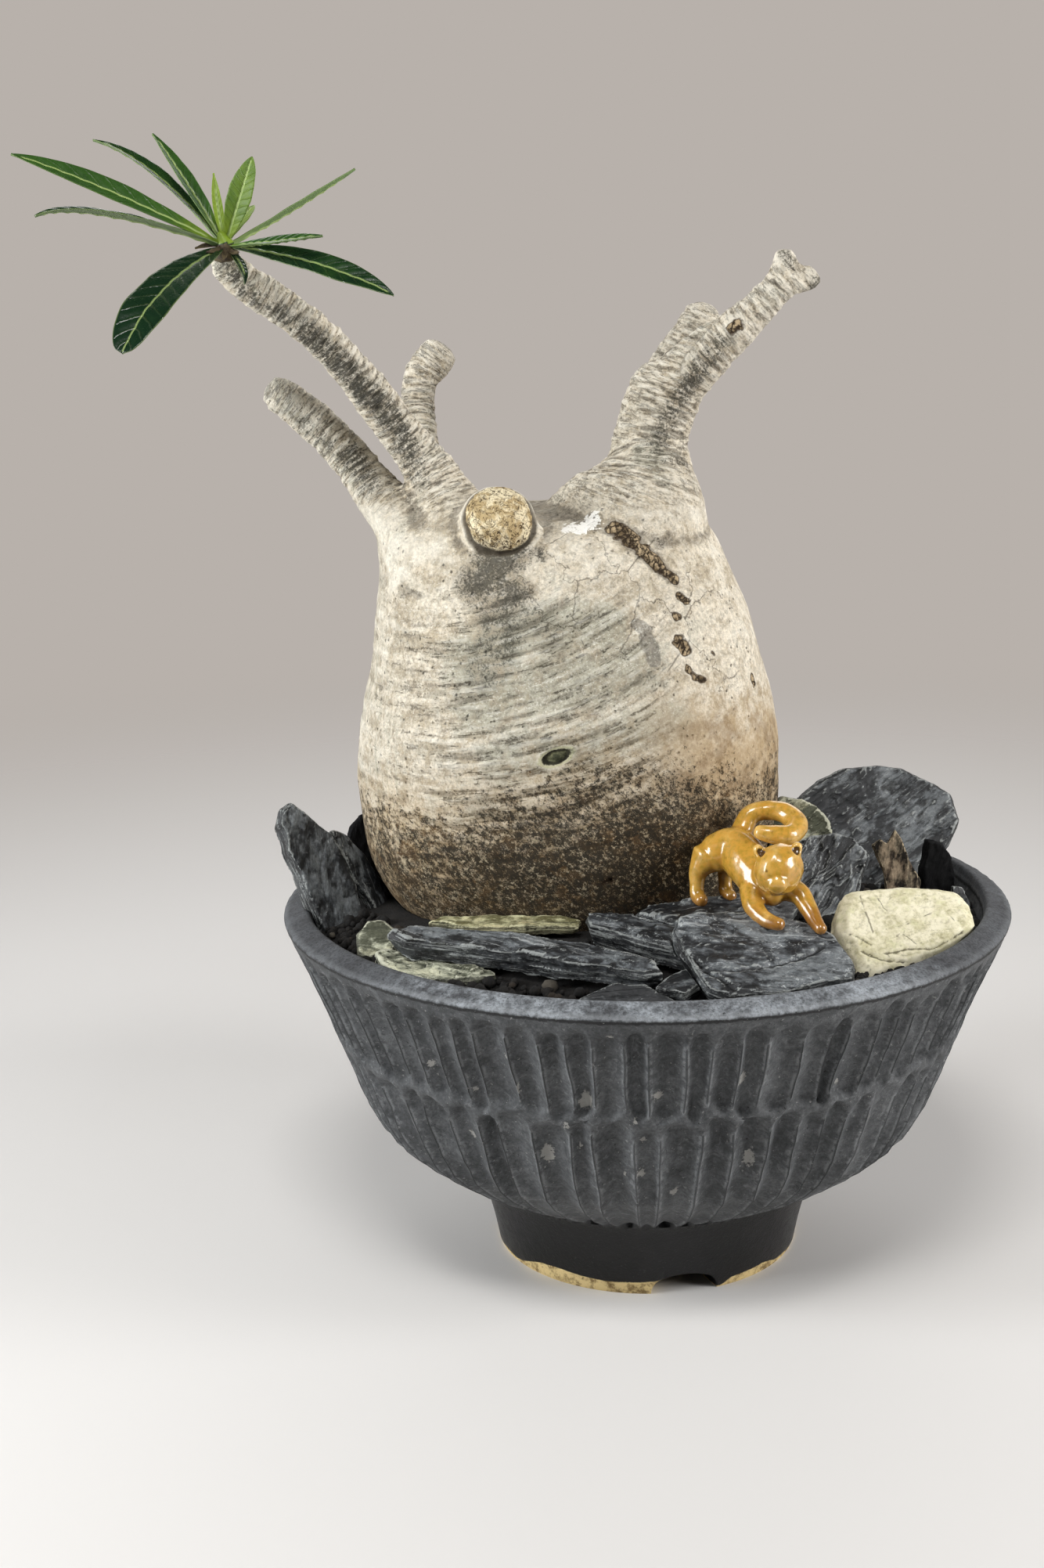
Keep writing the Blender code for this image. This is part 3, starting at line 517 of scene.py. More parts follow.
# Tints: greenish-grey patches, partly painted shade.
tints = [
    ([(-56, -45, 208), (-31.5, -46.9, 219.5), (-14, -47.5, 219.5)], 9, 0.9),
    ([(-52, -50, 196), (-27, -52.5, 203), (-6, -50, 206)], 11, 0.8),
    ([(-46, -54, 180), (-17, -54, 186), (6, -50, 190)], 8, 0.7),
    ([(1.8, -10.6, 266), (4, -13, 256)], 7, 0.85),
    ([(-88, -16, 291), (-81, -13, 281)], 4, 0.5),
    ([(14, 2, 300), (20, 0, 305)], 5, 0.7),
    ([(-112, 2, 282), (-84, -2, 252)], 4, 0.4),
    ([(-71, 14, 268), (-66, 22, 285)], 4, 0.5),
    ([(-70, 44, 190), (-10, 60, 180), (30, 36, 190)], 12, 0.8),
]
greys = [
    ([(-4.5, -44.2, 219), (-1.5, -45.5, 217)], 2, 1),
    ([(-1.5, -45.5, 217), (0.6, -47, 208.4)], 2.5, 1),
]
flakes = [
    ([(-23.5, -27, 246), (-19.1, -27.5, 246.5), (-16.5, -25, 248)], 2.8, 0.9),
    ([(7, -13, 254), (9, -16, 249)], 2, 0.7),
]
cracked = [([(-30.0, -42.0, 232.0), (-5.0, -40.0, 228.0), (18.0, -35.0, 214.0)], 19.0, 1.0)]
# An eye-shaped knot: x and height of its middle, half length, half height, slope and depth.
knot = {"x": -29.6, "z": 180.9, "long": 4.3, "high": 2.3, "rise": 0.3, "depth": 0.9}
# The old soil line: places across and its height there.
soilLine = ((-97, -85, -68, -45, -22, 0, 20, 45), (166, 167, 168, 172, 178, 178, 172, 166))


# A cross-section with cos and sin raised to 0.92, a little fuller than an ellipse.
def stemSection(rows, around):
    turn = np.arange(around) * 2 * math.pi / around
    fuller = [np.sign(part) * np.abs(part) ** 0.92 for part in (np.cos(turn), np.sin(turn))]
    rows = rows[:, None]
    loops = [rows[..., 0] + rows[..., 3] * fuller[0], rows[..., 1] + rows[..., 4] * fuller[1]]
    return np.stack([*loops, np.broadcast_to(rows[..., 2], loops[0].shape)], axis=-1)


# Ways ahead, to the side and square to both along a path, the side carried without twist.
def carried(centres):
    ahead = unit(np.gradient(centres, axis=0))
    side = [np.array(Vector(ahead[0]).orthogonal().normalized())]
    for way in ahead:
        side.append(unit(side[-1] - way * (side[-1] @ way)))
    side = np.array(side[1:])
    return ahead, side, np.cross(ahead, side)


# A circle of the row's radius carried square to the path, with a dome at each end.
def tubeLoops(rows, around, steps=4, dome=0.6):
    path = smoothPath(rows, steps)
    centres, radii = path[:, :3], path[:, 3]
    first, last = unit(centres[0] - centres[1]), unit(centres[-1] - centres[-2])
    caps = np.array([1.0, 0.7])[:, None] * dome
    centres = np.vstack([centres[0] + first * radii[0] * caps, centres,
                         centres[-1] + last * radii[-1] * caps[::-1]])
    radii = np.concatenate([radii[0] * np.array([0.35, 0.75]), radii, radii[-1] * np.array([0.75, 0.35])])
    _, side, other = (way[:, None] for way in carried(centres))
    turn = np.arange(around)[None, :, None] * 2 * math.pi / around
    return centres[:, None] + (side * np.cos(turn) + other * np.sin(turn)) * radii[:, None, None]


# A branch's own coordinates in mm, along it from its tip and across it twice, and the
# distance from its path as a share of its radius there.
def branchPlace(points, rows):
    path = smoothPath(rows, 5)
    centres, radii = path[:, :3], path[:, 3]
    travelled = np.concatenate([[0], np.cumsum(np.linalg.norm(np.diff(centres, axis=0), axis=1))])
    ways = np.stack(carried(centres), axis=1)
    near = ((points[:, None] - centres) ** 2).sum(axis=2).argmin(axis=1)
    place = np.einsum("nk,njk->nj", points - centres[near], ways[near])
    away = np.hypot(place[:, 1], place[:, 2])
    place[:, 0] += travelled[near]
    return place, away / radii[near]


# Distance from each point to the nearest of a line's straight stretches.
def lineDistance(points, line):
    away = np.full(len(points), 1e9)
    for start, end in zip(np.array(line), np.array(line[1:])):
        way = end - start
        share = np.clip((points - start) @ way / (way @ way), 0, 1)
        away = np.minimum(away, np.linalg.norm(points - start - share[:, None] * way, axis=1))
    return away


# The strongest of some marks at each point: full within 0.3 of the reach, none past 1.7.
def markField(points, marks):
    field = np.zeros(len(points))
    for line, reach, strength in marks:
        away = lineDistance(points, line) / reach
        field = np.maximum(field, strength * (1 - ramp(away, 0.3, 1.7)))
    return field


# What the bark's relief and colours follow, for each point of the skin.
def barkFields(points):
    x, y, z = points.T
    ring = points * 1.0
    branch = np.zeros(len(points))
    high = np.flatnonzero(z > 212)
    for number, name in enumerate(ringedBranches):
        place, share = branchPlace(points[high], branchRows[name])
        reach = (1 - ramp(share, 1.12, 1.6)) * ramp(z[high], 243, 264)
        better = reach > branch[high]
        ring[high[better]] = place[better] + 37 * number
        branch[high[better]] = reach[better]
    reach = np.maximum(x + 65, 0)
    steep = 1 + np.clip((z - 180) / 60, -0.4, 1.2) * 0.7
    growth = z - ramp(-y, -15, 25) * steep * (0.10 * reach + 0.0022 * np.minimum(reach, 90) ** 2)
    wrinkled = ramp(z, 128, 160) * (1 - ramp(z, 218, 242)) * (1 - ramp(x, -16, 22) * 0.8)
    wrinkled *= 0.45 + 0.55 * ramp(x, -84, -56)
    wrinkled = np.maximum(wrinkled, 0.15) * (1 - branch)
    band = z - np.interp(x, soilLine[0], soilLine[1])
    scar = np.full(len(points), -6.0)
    lift = np.zeros(len(points))
    edge = noise(points / 2.6, 12) * 1.3
    for line, wide, out in scars:
        inside = wide - lineDistance(points, line) + edge
        scar = np.maximum(scar, inside)
        lift += out * ramp(inside, -0.5, 0.9)
    axis = unit(np.array(stem["sawnAxis"]))
    offset = points - np.array(branchRows["cutStub"][0][:3]) - np.array(stem["sawnOffset"])
    ahead = offset @ axis
    away = np.linalg.norm(offset - ahead[:, None] * axis, axis=1)
    sawn = np.where(ahead > -4, stem["sawnRadius"] + 0.5 * noise(points / 5, 13) - away, -8.0)
    return {
        "ring": ring, "branch": branch, "band": band, "lines": np.stack([growth, wrinkled, sawn], axis=1),
        "marks": np.stack([markField(points, stains), markField(points, tints), scar], axis=1),
        "spots": np.stack([markField(points, part) for part in (greys, flakes, cracked)], axis=1),
    }, lift


# Distance from the knot's middle as a share of its oval, for points on the front.
def knotShare(points):
    x, y, z = points.T
    along = x - knot["x"]
    across = z - knot["z"] - knot["rise"] * along
    bend = 0.12 * noise(points / 2.5, 14)
    share = np.hypot(along / knot["long"], across / knot["high"]) + bend
    return np.where(y < -30, np.minimum(share, 3), 3.0)


# How far each point of the skin moves out along its normal: rings on the branches, wrinkles
# along the growth lines, soft lumps, scars, the sawn face with its groove, and the knot.
def barkRelief(points, fields, lift):
    growth, wrinkled, sawn = fields["lines"].T
    branch, scar = fields["branch"], fields["marks"][:, 2]
    x, y, _ = points.T
    rings = noise(fields["ring"] / (1.7, 7, 7), 3) + 0.6 * noise(fields["ring"] / (1.1, 5, 5), 4)
    swell = noise(fields["ring"] / (7, 12, 12), 5)
    wave = noise(np.column_stack([growth / 2.8, x * 0.05, y * 0.05]), 6)
    finer = noise(np.column_stack([growth / 1.3, x * 0.1, y * 0.1]), 7)
    calm = 1 - ramp(sawn, -1.5, 0.0)
    move = calm * branch * (stem["ringHeight"] * rings + 0.35 * swell)
    move += calm * wrinkled * stem["wrinkleHeight"] * (wave + finer * 0.5)
    move += calm * (1 - branch) * stem["lump"] * roughness(points / 26, 2, 9)
    move += calm * 0.08 * roughness(points / 2.5, 2, 10)
    move += lift + ramp(scar, -0.4, 0.6) * 0.35 * roughness(points / 1.2, 2, 11)
    move += 0.45 * np.exp(-((fields["knot"] - 1.25) / 0.2) ** 2)
    move -= knot["depth"] * np.exp(-((fields["knot"] - 0.75) / 0.28) ** 2)
    move += ramp(sawn, 0.2, 1.0) * 0.4 * roughness(points / 1.5, 3, 8)
    move -= stem["corkGroove"] * np.exp(-((sawn - 0.3) / 0.6) ** 2)
    move += 0.5 * np.exp(-((sawn + 1.6) / 1.0) ** 2) * ramp(x, -44, -36)
    return move


# One skin over the swollen part and the branches, twice as fine where the front, the
# branches and the scars have detail.
def makeStem(material):
    rows = smoothPath(stemRows, 4)
    solids = [closedLoops(stemSection(rows, 72))]
    solids += [closedLoops(tubeLoops(rows, 32)) for rows in branchRows.values()]
    points, faces = together(solids)
    skin = voxelSkin(meshOf("stem_skin", points, *cornersOf(faces)), stem["voxel"], stem["smoothing"])
    points, corners, sizes = skin
    quads = corners.reshape(-1, 4)
    middles = points[quads].mean(axis=1)
    fields, _ = barkFields(middles)
    front = (middles[:, 1] < -30) & (middles[:, 2] > 154) & (middles[:, 2] < 224)
    fine = (fields["branch"] > 0.4) | (fields["lines"][:, 2] > -5) | (fields["marks"][:, 2] > -1.5)
    points, corners, sizes = splitQuads(points, quads, fine | front)
    normals = normalsOf("stem_fine", points, corners, sizes)
    fields, lift = barkFields(points)
    fields["knot"] = knotShare(points)
    points = points + normals * barkRelief(points, fields, lift)[:, None]
    fields["wear"] = standing(points, corners, sizes, normals, 10)
    return addPiece("stem_skin", points, corners, sizes, material, "bark", ["stem"], fields)


# What the bark's layers share: the place, the skin's fields and four sizes of noise. Drift,
# dust and sand are three of the noises less a half, so they sway about zero.
def barkWires(f):
    b = SimpleNamespace(p=f.place())
    b.x, b.y, b.z = f.parts(b.p)
    b.ring, b.branch, b.band = f.attribute("ring", "Vector"), f.attribute("branch"), f.attribute("band")
    b.growth, b.wrinkled, b.sawn = f.parts(f.attribute("lines", "Vector"))
    b.stain, b.tint, b.scar = f.parts(f.attribute("marks", "Vector"))
    b.grey, b.flake, b.crazed = f.parts(f.attribute("spots", "Vector"))
    b.wear, b.knot = f.attribute("wear"), f.attribute("knot")
    b.broad, b.mottle = f.grain(b.p, 22, 3), f.grain(b.p, 5, 5, 0.65)
    b.fine, b.grit = f.grain(b.p, 1.3, 5, 0.75), f.grain(b.p, 0.7, 3, 0.8)
    b.drift, b.dust, b.sand = b.mottle - 0.5, b.fine - 0.5, b.grit - 0.5
    return b


# Pale bark in soft patches, greenish grey where the tint marks lie, which is partly painted shade, and
# darker at the left as painted shade.
def groundLayers(f, b):
    pale = f.rise(b.mottle * 0.7 + b.broad * 0.3, 0.38, 0.58)
    f.tone = f.blend(pale, stem["darkBark"], stem["lightBark"])
    f.coat(f.rise(f.grain(b.p, 13, 3), 0.52, 0.66) * f.fall(b.x, -60, -10) * 0.25, stem["warmBark"])
    # the tint marks in greenish grey, partly painted shade
    f.coat(f.rise(b.tint + b.drift * 2.2 + b.dust * 0.8, 0.12, 1.0) * 0.6, stem["greenBark"])
    f.coat(f.rise(b.broad, 0.54, 0.66) * f.rise(b.mottle, 0.42, 0.6) * 0.3, stem["greenBark"])
    # painted shade: the stem darker towards its left side, off the branches
    f.coat(f.fall(b.x, -92, -52) * (1 - b.branch), f.dim(f.tone, 0.84 + b.drift * 0.5))
    f.coat(f.rise(b.grey + b.drift * 1.6 + b.dust, 0.4, 0.6) * 0.7, stem["greyBark"])
    f.tone = f.dim(f.tone, 0.66 + f.rise(b.fine, 0.34, 0.62) * 0.42)
    f.coat(f.rise(b.grit, 0.56, 0.66) * 0.35, stem["flake"])
    f.coat(f.fall(b.grit, 0.32, 0.42) * 0.4, stem["line"])
    upright = f.grain(f.stretched(b.p, (1, 1, 0.1)), 1.4, 4, 0.7)
    edge = f.fall(b.x + (b.z - 180) * 0.12, -86, -70)
    f.coat(f.fall(upright, 0.36, 0.5) * edge * 0.5, stem["greenBark"])


# Wrinkles: bands of noise drawn out along the growth lines, with painted shade in their valleys, dark
# flecks in them and a painted highlight on their crests.
def wrinkleLayers(f, b):
    wave = f.grain(f.joined(b.growth * 0.36, b.x * 0.05, b.y * 0.05), 1, 4, 0.7)
    b.valley = f.fall(wave, 0.40, 0.51) * b.wrinkled
    centre = 0.5 + 0.5 * f.fall(abs(b.x + 32), 24, 58)
    # painted shade in the wrinkles' valleys, strongest in the middle of the front
    f.coat(b.valley * (0.4 + 0.6 * f.rise(b.mottle, 0.36, 0.6)) * centre * 0.65, stem["shadow"])
    hair = f.grain(f.joined(b.growth * 1.2, b.x * 0.13, b.y * 0.13), 1, 3, 0.7)
    dots = f.rise(b.valley * 0.8 + b.drift * 2.4 + f.fall(b.wear, -0.10, 0.02) * 0.5, 0.25, 0.6)
    b.fleck = f.fall(hair + b.sand * 0.7, 0.37, 0.44) * dots
    f.coat((b.fleck * b.wrinkled * 1.2).highest(b.fleck * 0.3) * 0.6, stem["line"])
    # painted highlight on the wrinkles' crests, in the pale flake colour
    crest = f.rise(hair + b.sand * 0.6, 0.56, 0.64) * f.rise(wave, 0.48, 0.58) * b.wrinkled
    f.coat(crest * 0.3, stem["flake"])


# Branch creases: short strokes across the branch with pale crests between them.
def creaseLayers(f, b):
    b.stroke = f.grain(f.stretched(b.ring, (0.85, 0.16, 0.16)), 1, 4, 0.7)
    finer = f.grain(f.stretched(b.ring, (1.7, 0.35, 0.35)), 1, 3, 0.7)
    b.crease = f.fall(b.stroke, 0.37, 0.46).highest(f.fall(finer, 0.33, 0.42)) * b.branch
    f.coat(f.rise(b.mottle, 0.42, 0.62) * b.branch * 0.45, stem["dullBark"])
    f.coat(f.rise(b.stroke, 0.53, 0.62) * b.branch * 0.6, stem["crest"])
    f.coat(b.crease * (0.62 - f.rise(b.x, -20, 0) * 0.22), stem["line"])


# Pinpricks in some of a mesh of small cells, and cracks between broad ones.
def crackLayers(f, b):
    holes = f.cells(b.p + b.dust * 1.6, 2.4)
    chance = Wire(f, holes.socket.node.outputs["Color"])
    kept = f.rise(chance, 0.50, 0.60) * f.rise(f.grain(b.p, 14, 3), 0.42, 0.54)
    b.prick = f.fall(holes * 2.4, 0.15, 0.6) * kept
    f.coat(b.prick * 0.85 * (1 - b.branch * 0.6), stem["stain"])
    bend = f.grain(b.p, 5, 3, 0.6) - 0.5
    mesh = f.cells(f.stretched(b.p, (1, 1, 0.8)) + bend * 9, 19, "DISTANCE_TO_EDGE")
    b.crack = f.fall(mesh * 19, 0.04, 0.3) * f.rise(b.crazed + b.drift * 3, 0.4, 0.7)
    f.coat(b.crack * 0.6, stem["line"])


# Painted shade in hollows, pale ridges, smears where the stains lie, and white flakes.
def shadeAndStainLayers(f, b):
    # painted shade: darker where the skin lies below its neighbours
    f.coat(f.fall(b.wear + b.dust * 0.1, -0.16, 0.02) * 0.5, stem["line"])
    f.coat(f.rise(b.wear, 0.03, 0.16) * 0.22, stem["flake"])
    patchy = f.rise(b.mottle, 0.30, 0.56) * (0.35 + 0.65 * (1 - f.rise(b.stroke, 0.46, 0.6) * b.branch))
    smear = f.rise(b.stain * (0.4 + patchy) + b.sand * 4 + b.dust * 3.4, -0.1, 1.25)
    smear = smear * f.rise(b.stain, 0.02, 0.25)
    f.coat(smear * 0.9, f.blend(f.rise(b.fine, 0.45, 0.6), stem["stain"], stem["stainLight"]))
    white = f.rise(b.flake + b.dust * 3 + b.drift * 4, 0.40, 0.50) * f.rise(b.flake, 0.1, 0.2)
    f.coat(white * 0.95, stem["white"])


# The old soil line: golden bark under black and rusty grains that close up towards the
# soil. The grains cover what noise leaves over a falling limit.
def soilLineLayers(f, b):
    level = b.band + b.drift * 24 + (b.broad - 0.5) * 26
    b.low = f.fall(level, -30, 16)
    golden = f.rise(b.x + b.drift * 50, -10, 18) * f.fall(level, 6, 30)
    f.coat((golden * 0.7).highest(b.low * 0.7), stem["gold"])
    f.coat(f.rise(f.grain(b.p, 9, 4, 0.65), 0.47, 0.6) * golden * 0.55, stem["burnt"])
    side = f.rise(b.x, 0, 22).highest(f.fall(b.x, -66, -40))
    rusty = f.rise(f.grain(b.p, 6, 4, 0.6) + side * 0.05 - f.rise(b.z, 128, 150) * 0.06, 0.47, 0.56)
    patch = f.rise(f.grain(f.stretched(b.p, (1, 1, 1.6)), 22, 4, 0.6), 0.44, 0.58)
    grime = f.blend(rusty * (0.35 + patch * 0.65), stem["soot"], stem["earth"])
    b.slant = f.grain(f.joined((b.x + b.z) * 0.42, (b.x - b.z) * 0.26, b.y * 0.4), 1, 6, 0.9)
    limit = 0.68 - b.low * (0.28 - side * 0.05 - patch * 0.03) - b.valley * 0.06 - golden * 0.05
    b.grains = f.rise(b.slant + b.sand * 0.25 - limit, -0.035, 0.035)
    tufts = f.grain(f.joined((b.x + b.z) * 0.9, (b.x - b.z) * 0.6, b.y * 0.9), 1.7, 5, 0.8)
    grime = f.blend(f.rise(tufts, 0.50, 0.58) * (0.35 + 0.4 * rusty), grime, stem["tuft"])
    grime = f.blend(f.rise(f.grain(b.p, 12, 5, 0.7), 0.49, 0.57) * 0.75, grime, stem["soot"])
    f.coat(b.grains * 0.94, grime)
    cream = f.rise(tufts + b.sand * 0.5 + b.drift * 0.3 + side * 0.02, 0.57, 0.63) * b.low
    f.coat(cream * 0.8, f.blend(rusty * 0.6, stem["speck"], stem["gold"]))


# Scars: torn flesh with dark lines between its shreds and a brown edge.
def scarLayers(f, b):
    scar = b.scar + b.drift * 2.5 + b.dust * 1.5
    b.torn = f.rise(scar, -0.1, 0.15)
    b.shreds = f.cells(f.stretched(b.p, (1, 1, 0.6)) + b.dust * 2.5, 1.9, "DISTANCE_TO_EDGE") * 1.9
    flesh = f.blend(f.rise(b.mottle, 0.42, 0.56), stem["fleshDark"], stem["flesh"])
    f.coat(b.torn, f.blend(f.rise(b.shreds + b.drift * 0.5, 0.08, 0.34), stem["shred"], flesh))
    f.coat(f.rise(scar, -0.5, -0.1) * f.fall(scar, 0, 0.4) * 0.8, stem["scarEdge"])


# The knot: an olive eye in a black ring, with a pale rim outside.
def knotLayers(f, b):
    eye = b.knot + b.dust * 0.5
    f.coat(f.rise(eye, 1.0, 1.15) * f.fall(eye, 1.2, 1.45) * 0.6, stem["knotRim"])
    olive = f.blend(f.rise(b.mottle, 0.4, 0.6), stem["knotDark"], stem["knotLight"])
    f.coat(f.fall(eye, 0.95, 1.1), olive)
    f.coat(f.rise(eye, 0.6, 0.85) * f.fall(eye, 0.95, 1.1) * 0.85, stem["soot"])


# The sawn face: two nets of dark fibre lines over cork, closer together at its rim.
def sawnLayers(f, b):
    b.face = f.rise(b.sawn, 0.3, 0.9)
    nets = [abs(f.grain(b.p, size, 3, 0.6, 0.9) - 0.5) * 11 for size in (1.9, 3.4)]
    strands = f.rise(nets[0], 0, 0.3) * f.rise(nets[1], 0, 0.22)
    rim = f.fall(b.sawn + b.drift * 6 + (b.z - 251) * 0.16, 0.6, 2.6)
    b.fibre = f.rise(strands + b.dust * 0.6 - rim * 0.5, -0.1, 0.6)
    cork = f.blend(f.rise(b.mottle, 0.42, 0.56), stem["corkDark"], stem["cork"])
    f.coat(b.face, f.blend(b.fibre, stem["corkLine"], cork))
    f.coat(f.rise(b.sawn, -0.8, -0.1) * f.fall(b.sawn, 0.3, 0.8) * 0.8, stem["line"])


def barkFinish():
    f = Finish("bark", Roughness=0.85, Specular_IOR_Level=0.25)
    b = barkWires(f)
    for lay in (groundLayers, wrinkleLayers, creaseLayers, crackLayers, shadeAndStainLayers, soilLineLayers,
                scarLayers, knotLayers, sawnLayers):
        lay(f, b)
    height = b.fine * 0.4 + b.mottle * 0.25
    height = height - (b.crease * 0.6 + b.prick * 0.4 + b.crack * 0.3 + b.fleck * 0.3)
    height = height + b.grains * b.low * b.slant * 0.8 + b.fibre * b.face * 0.7 + b.torn * b.shreds * 0.6
    return f.done(Roughness=0.72 + b.fine * 0.2, Normal=f.bump(height, 0.7, 0.9))


# Pot

pot = {
    "upperFlutes": 82,
    "lowerFlutes": 64,
    "upperSteps": 8,         # points across each flute
    "lowerSteps": 10,
    "upperRows": 32,         # points down each tier
    "lowerRows": 56,
    "fluteDepth": 3.2,       # mm
    "archHeight": 4.6,       # mm, how far a flute's round end reaches past its corners
    "stray": 0.2,            # how far ridges stray from even spacing, as a share of a flute
    "waver": 0.008,          # how far a ridge wavers on its way down, in radians
    "tierEdge": 82.0,        # mm, mean height where the lower flutes begin
    "tierWave": 3.2,
    "tierGap": 1.2,          # mm, bare wall between the tiers
    "lip": 2.5,              # mm of wall above the straight slope
    "upperArches": (4.6, 0.0),    # mm in from a tier's top and foot to its flutes' ends
    "lowerArches": (-0.4, -3.0),
    "reach": 119.97,         # mm, no part of the wall is farther from the axis
    "ragged": 0.35,          # mm, unevenness of the rim's edge
    "footRadius": 45.75,     # mm, middle of the foot's ring
    "notchHeight": 7.0,      # mm, drain notches in the foot
    "notchHalf": 10.0,
    "clay": colour(56, 58, 60),
    "clayLight": colour(88, 90, 92),
    "wispLight": colour(118, 120, 122),
    "wispDark": colour(34, 35, 37),
    # the next two: painted highlight beside the flutes' ridges and painted shade along them
    "ridge": colour(142, 145, 147),
    "ridgeShade": colour(22, 23, 25),
    # the next: a painted sheen on the rim, mostly at its front
    "sheen": colour(158, 164, 170),
    "rimClay": colour(56, 57, 60),
    # the next: the rim's worn edge, partly a painted highlight
    "rimWornHighlight": colour(150, 154, 157),
    "edgeLine": colour(16, 16, 17),
    "chip": colour(168, 166, 160),
    "chipDark": colour(128, 128, 126),
    "fleck": colour(150, 150, 148),
    "foot": colour(8, 8, 8),
    "footLight": colour(17, 16, 17),
    "bareClay": colour(206, 184, 132),
    "bareDark": colour(120, 98, 60),
}
notchAngles = (-79, 41, 161)
# Chips in the slip: bearing round the pot in degrees, height in mm, half size in mm.
chips = [
    (-102.8, 88.6, 2.3), (-110.9, 67.4, 2.3), (-74.3, 65.1, 2.1), (-78.5, 95.6, 1.4), (-91.3, 91.3, 1.5),
    (-95.2, 81.9, 1.0), (-93.9, 74.3, 0.9), (-94.3, 62.2, 1.3), (-97.4, 61.9, 0.8), (-114.3, 102.0, 1.0),
    (-113.7, 91.0, 1.1), (-88.2, 54.2, 1.2), (-105.9, 80.3, 1.0), (-104.6, 71.2, 0.9), (-98.0, 113.0, 1.3),
    (-121.7, 87.1, 1.0), (-125.7, 68.3, 1.0), (-125.8, 59.4, 0.8), (-130.0, 92.9, 1.4), (-119.6, 59.9, 0.9),
    (-60, 88, 1.0), (-50, 70, 1.2), (-30, 84, 1.1), (20, 75, 1.5), (75, 60, 1.6), (110, 92, 1.2),
    (150, 70, 1.7), (-160, 88, 1.3), (50, 98, 1.0),
]
# The pot's section in radius and height: up inside and over the rim, down outside to the
# waist, and round the foot to the drain hole.
insideRows = [
    (9, 26), (42, 26), (51, 30), (63, 37), (79, 47), (89.5, 60), (96.8, 80), (104.6, 100),
    (108.5, 111), (110.7, 117), (111.3, 119.6), (111.7, 121.2), (112.1, 121.8), (112.8, 121.95),
    (113.8, 121.7), (115.4, 121.1), (117.2, 120.3), (118.8, 119.5), (119.5, 119.1), (119.85, 118.7),
]
wallRows = np.array([
    (119.95, 118.3), (119.7, 117.4), (119.0, 116.0), (107.8, 89), (97.6, 61.4), (96.9, 59.7),
    (96.2, 57.6), (90.6, 48), (84, 42), (75, 35.5), (66, 30.6), (59.5, 27.6),
])
footRows = [
    (57.6, 26.4), (57.0, 25.2), (56.4, 23.4), (55.7, 21), (54.6, 17.5), (53.6, 13.5), (52.6, 9.2),
    (51.8, 5.6), (51.2, 2.6), (50.9, 0.9), (50.5, 0.0), (49.4, 0), (45.75, 0), (42.0, 0), (41, 0),
    (40.8, 2), (40.6, 5.6), (40.2, 9.2), (40, 16), (24, 16), (9, 16),
]


# Bearings of a tier's points and how far across its flute each lies, from 0 to 1: ridges
# stray from even spacing by a seeded draw, and the depth of each flute is drawn too.
def fluteRound(count, steps, seed):
    draw = random.Random(seed)
    stray = np.array([draw.uniform(-1, 1) * pot["stray"] for _ in range(count)])
    deep = np.array([draw.uniform(0.7, 1.25) for _ in range(count)])
    ends = np.array([draw.uniform(-1, 1) for _ in range(count)])
    ridges = (np.arange(count + 1) + np.append(stray, stray[0])) * 2 * math.pi / count
    share = np.arange(steps) / steps
    bearing = ridges[:-1, None] + (ridges[1:] - ridges[:-1])[:, None] * share
    return bearing.ravel(), np.tile(share, count), np.repeat(deep, steps), np.repeat(ends, steps)


def onCircle(bearing, height, pace):   # places for noise round the pot, at a pace per mm
    ways = (np.cos(bearing), np.sin(bearing), height + 0 * bearing)
    return np.stack(np.broadcast_arrays(*ways), axis=-1).reshape(-1, 3) * pace


# The height where the lower flutes begin, which noise carries up and down round the pot.
def tierEdge(bearing):
    return pot["tierEdge"] + pot["tierWave"] * noise(onCircle(bearing, 0, 100) / 9, 20)


# Rows of a tier between two lengths down the wall, with flutes of depth
# depth * (1 - |2s - 1|^1.7) across, cut in from an arch at the top to an arch at the foot.
def tierLoops(begin, end, count, tier, seed, topArch, footArch):
    bearing, share, deep, ends = tier
    lengths = np.linalg.norm(np.diff(wallRows, axis=0), axis=1)
    lengths = np.concatenate([[0], np.cumsum(lengths)])
    way = begin + (end - begin) * np.linspace(0, 1, count)[:, None]
    radius, height = (np.interp(way, lengths, wallRows[:, k]) for k in (0, 1))
    across = np.abs(2 * share - 1)
    top = topArch + ends * 1.5 + pot["archHeight"] * across ** 2.4
    foot = footArch + ends[::-1] * 1.0 + pot["archHeight"] * 0.6 * across ** 2
    cutShare = ramp(way - begin - top, -0.4, 1.7) * ramp(end - way - foot, -0.6, 2.4)
    spots = onCircle(bearing + 0 * way, height, 1)
    waver = noise(spots * (14, 14, 1 / 15), seed).reshape(way.shape)
    depth = 1 + 0.35 * noise(spots * (16, 16, 1 / 18), seed + 1).reshape(way.shape)
    cut = pot["fluteDepth"] * deep * depth * cutShare * (1 - across ** 1.7)
    place = spots * (100, 100, 1)
    worn = 0.3 * roughness(place / 9, 2, 22) + 0.1 * noise(place / 2.4, 27)
    radius = np.minimum(radius - cut + worn.reshape(way.shape) * ramp(way, 2, 5), pot["reach"])
    turned = bearing + waver * pot["waver"] * cutShare
    loops = np.stack([np.cos(turned) * radius, np.sin(turned) * radius, height], axis=-1)
    return loops, across ** 7 * cutShare


# A circle of each row's radius at its height.
def roundLoops(rows, bearing):
    radius, height = np.array(rows, float).T[:, :, None]
    return np.stack([np.cos(bearing) * radius, np.sin(bearing) * radius, height + 0 * bearing], axis=-1)


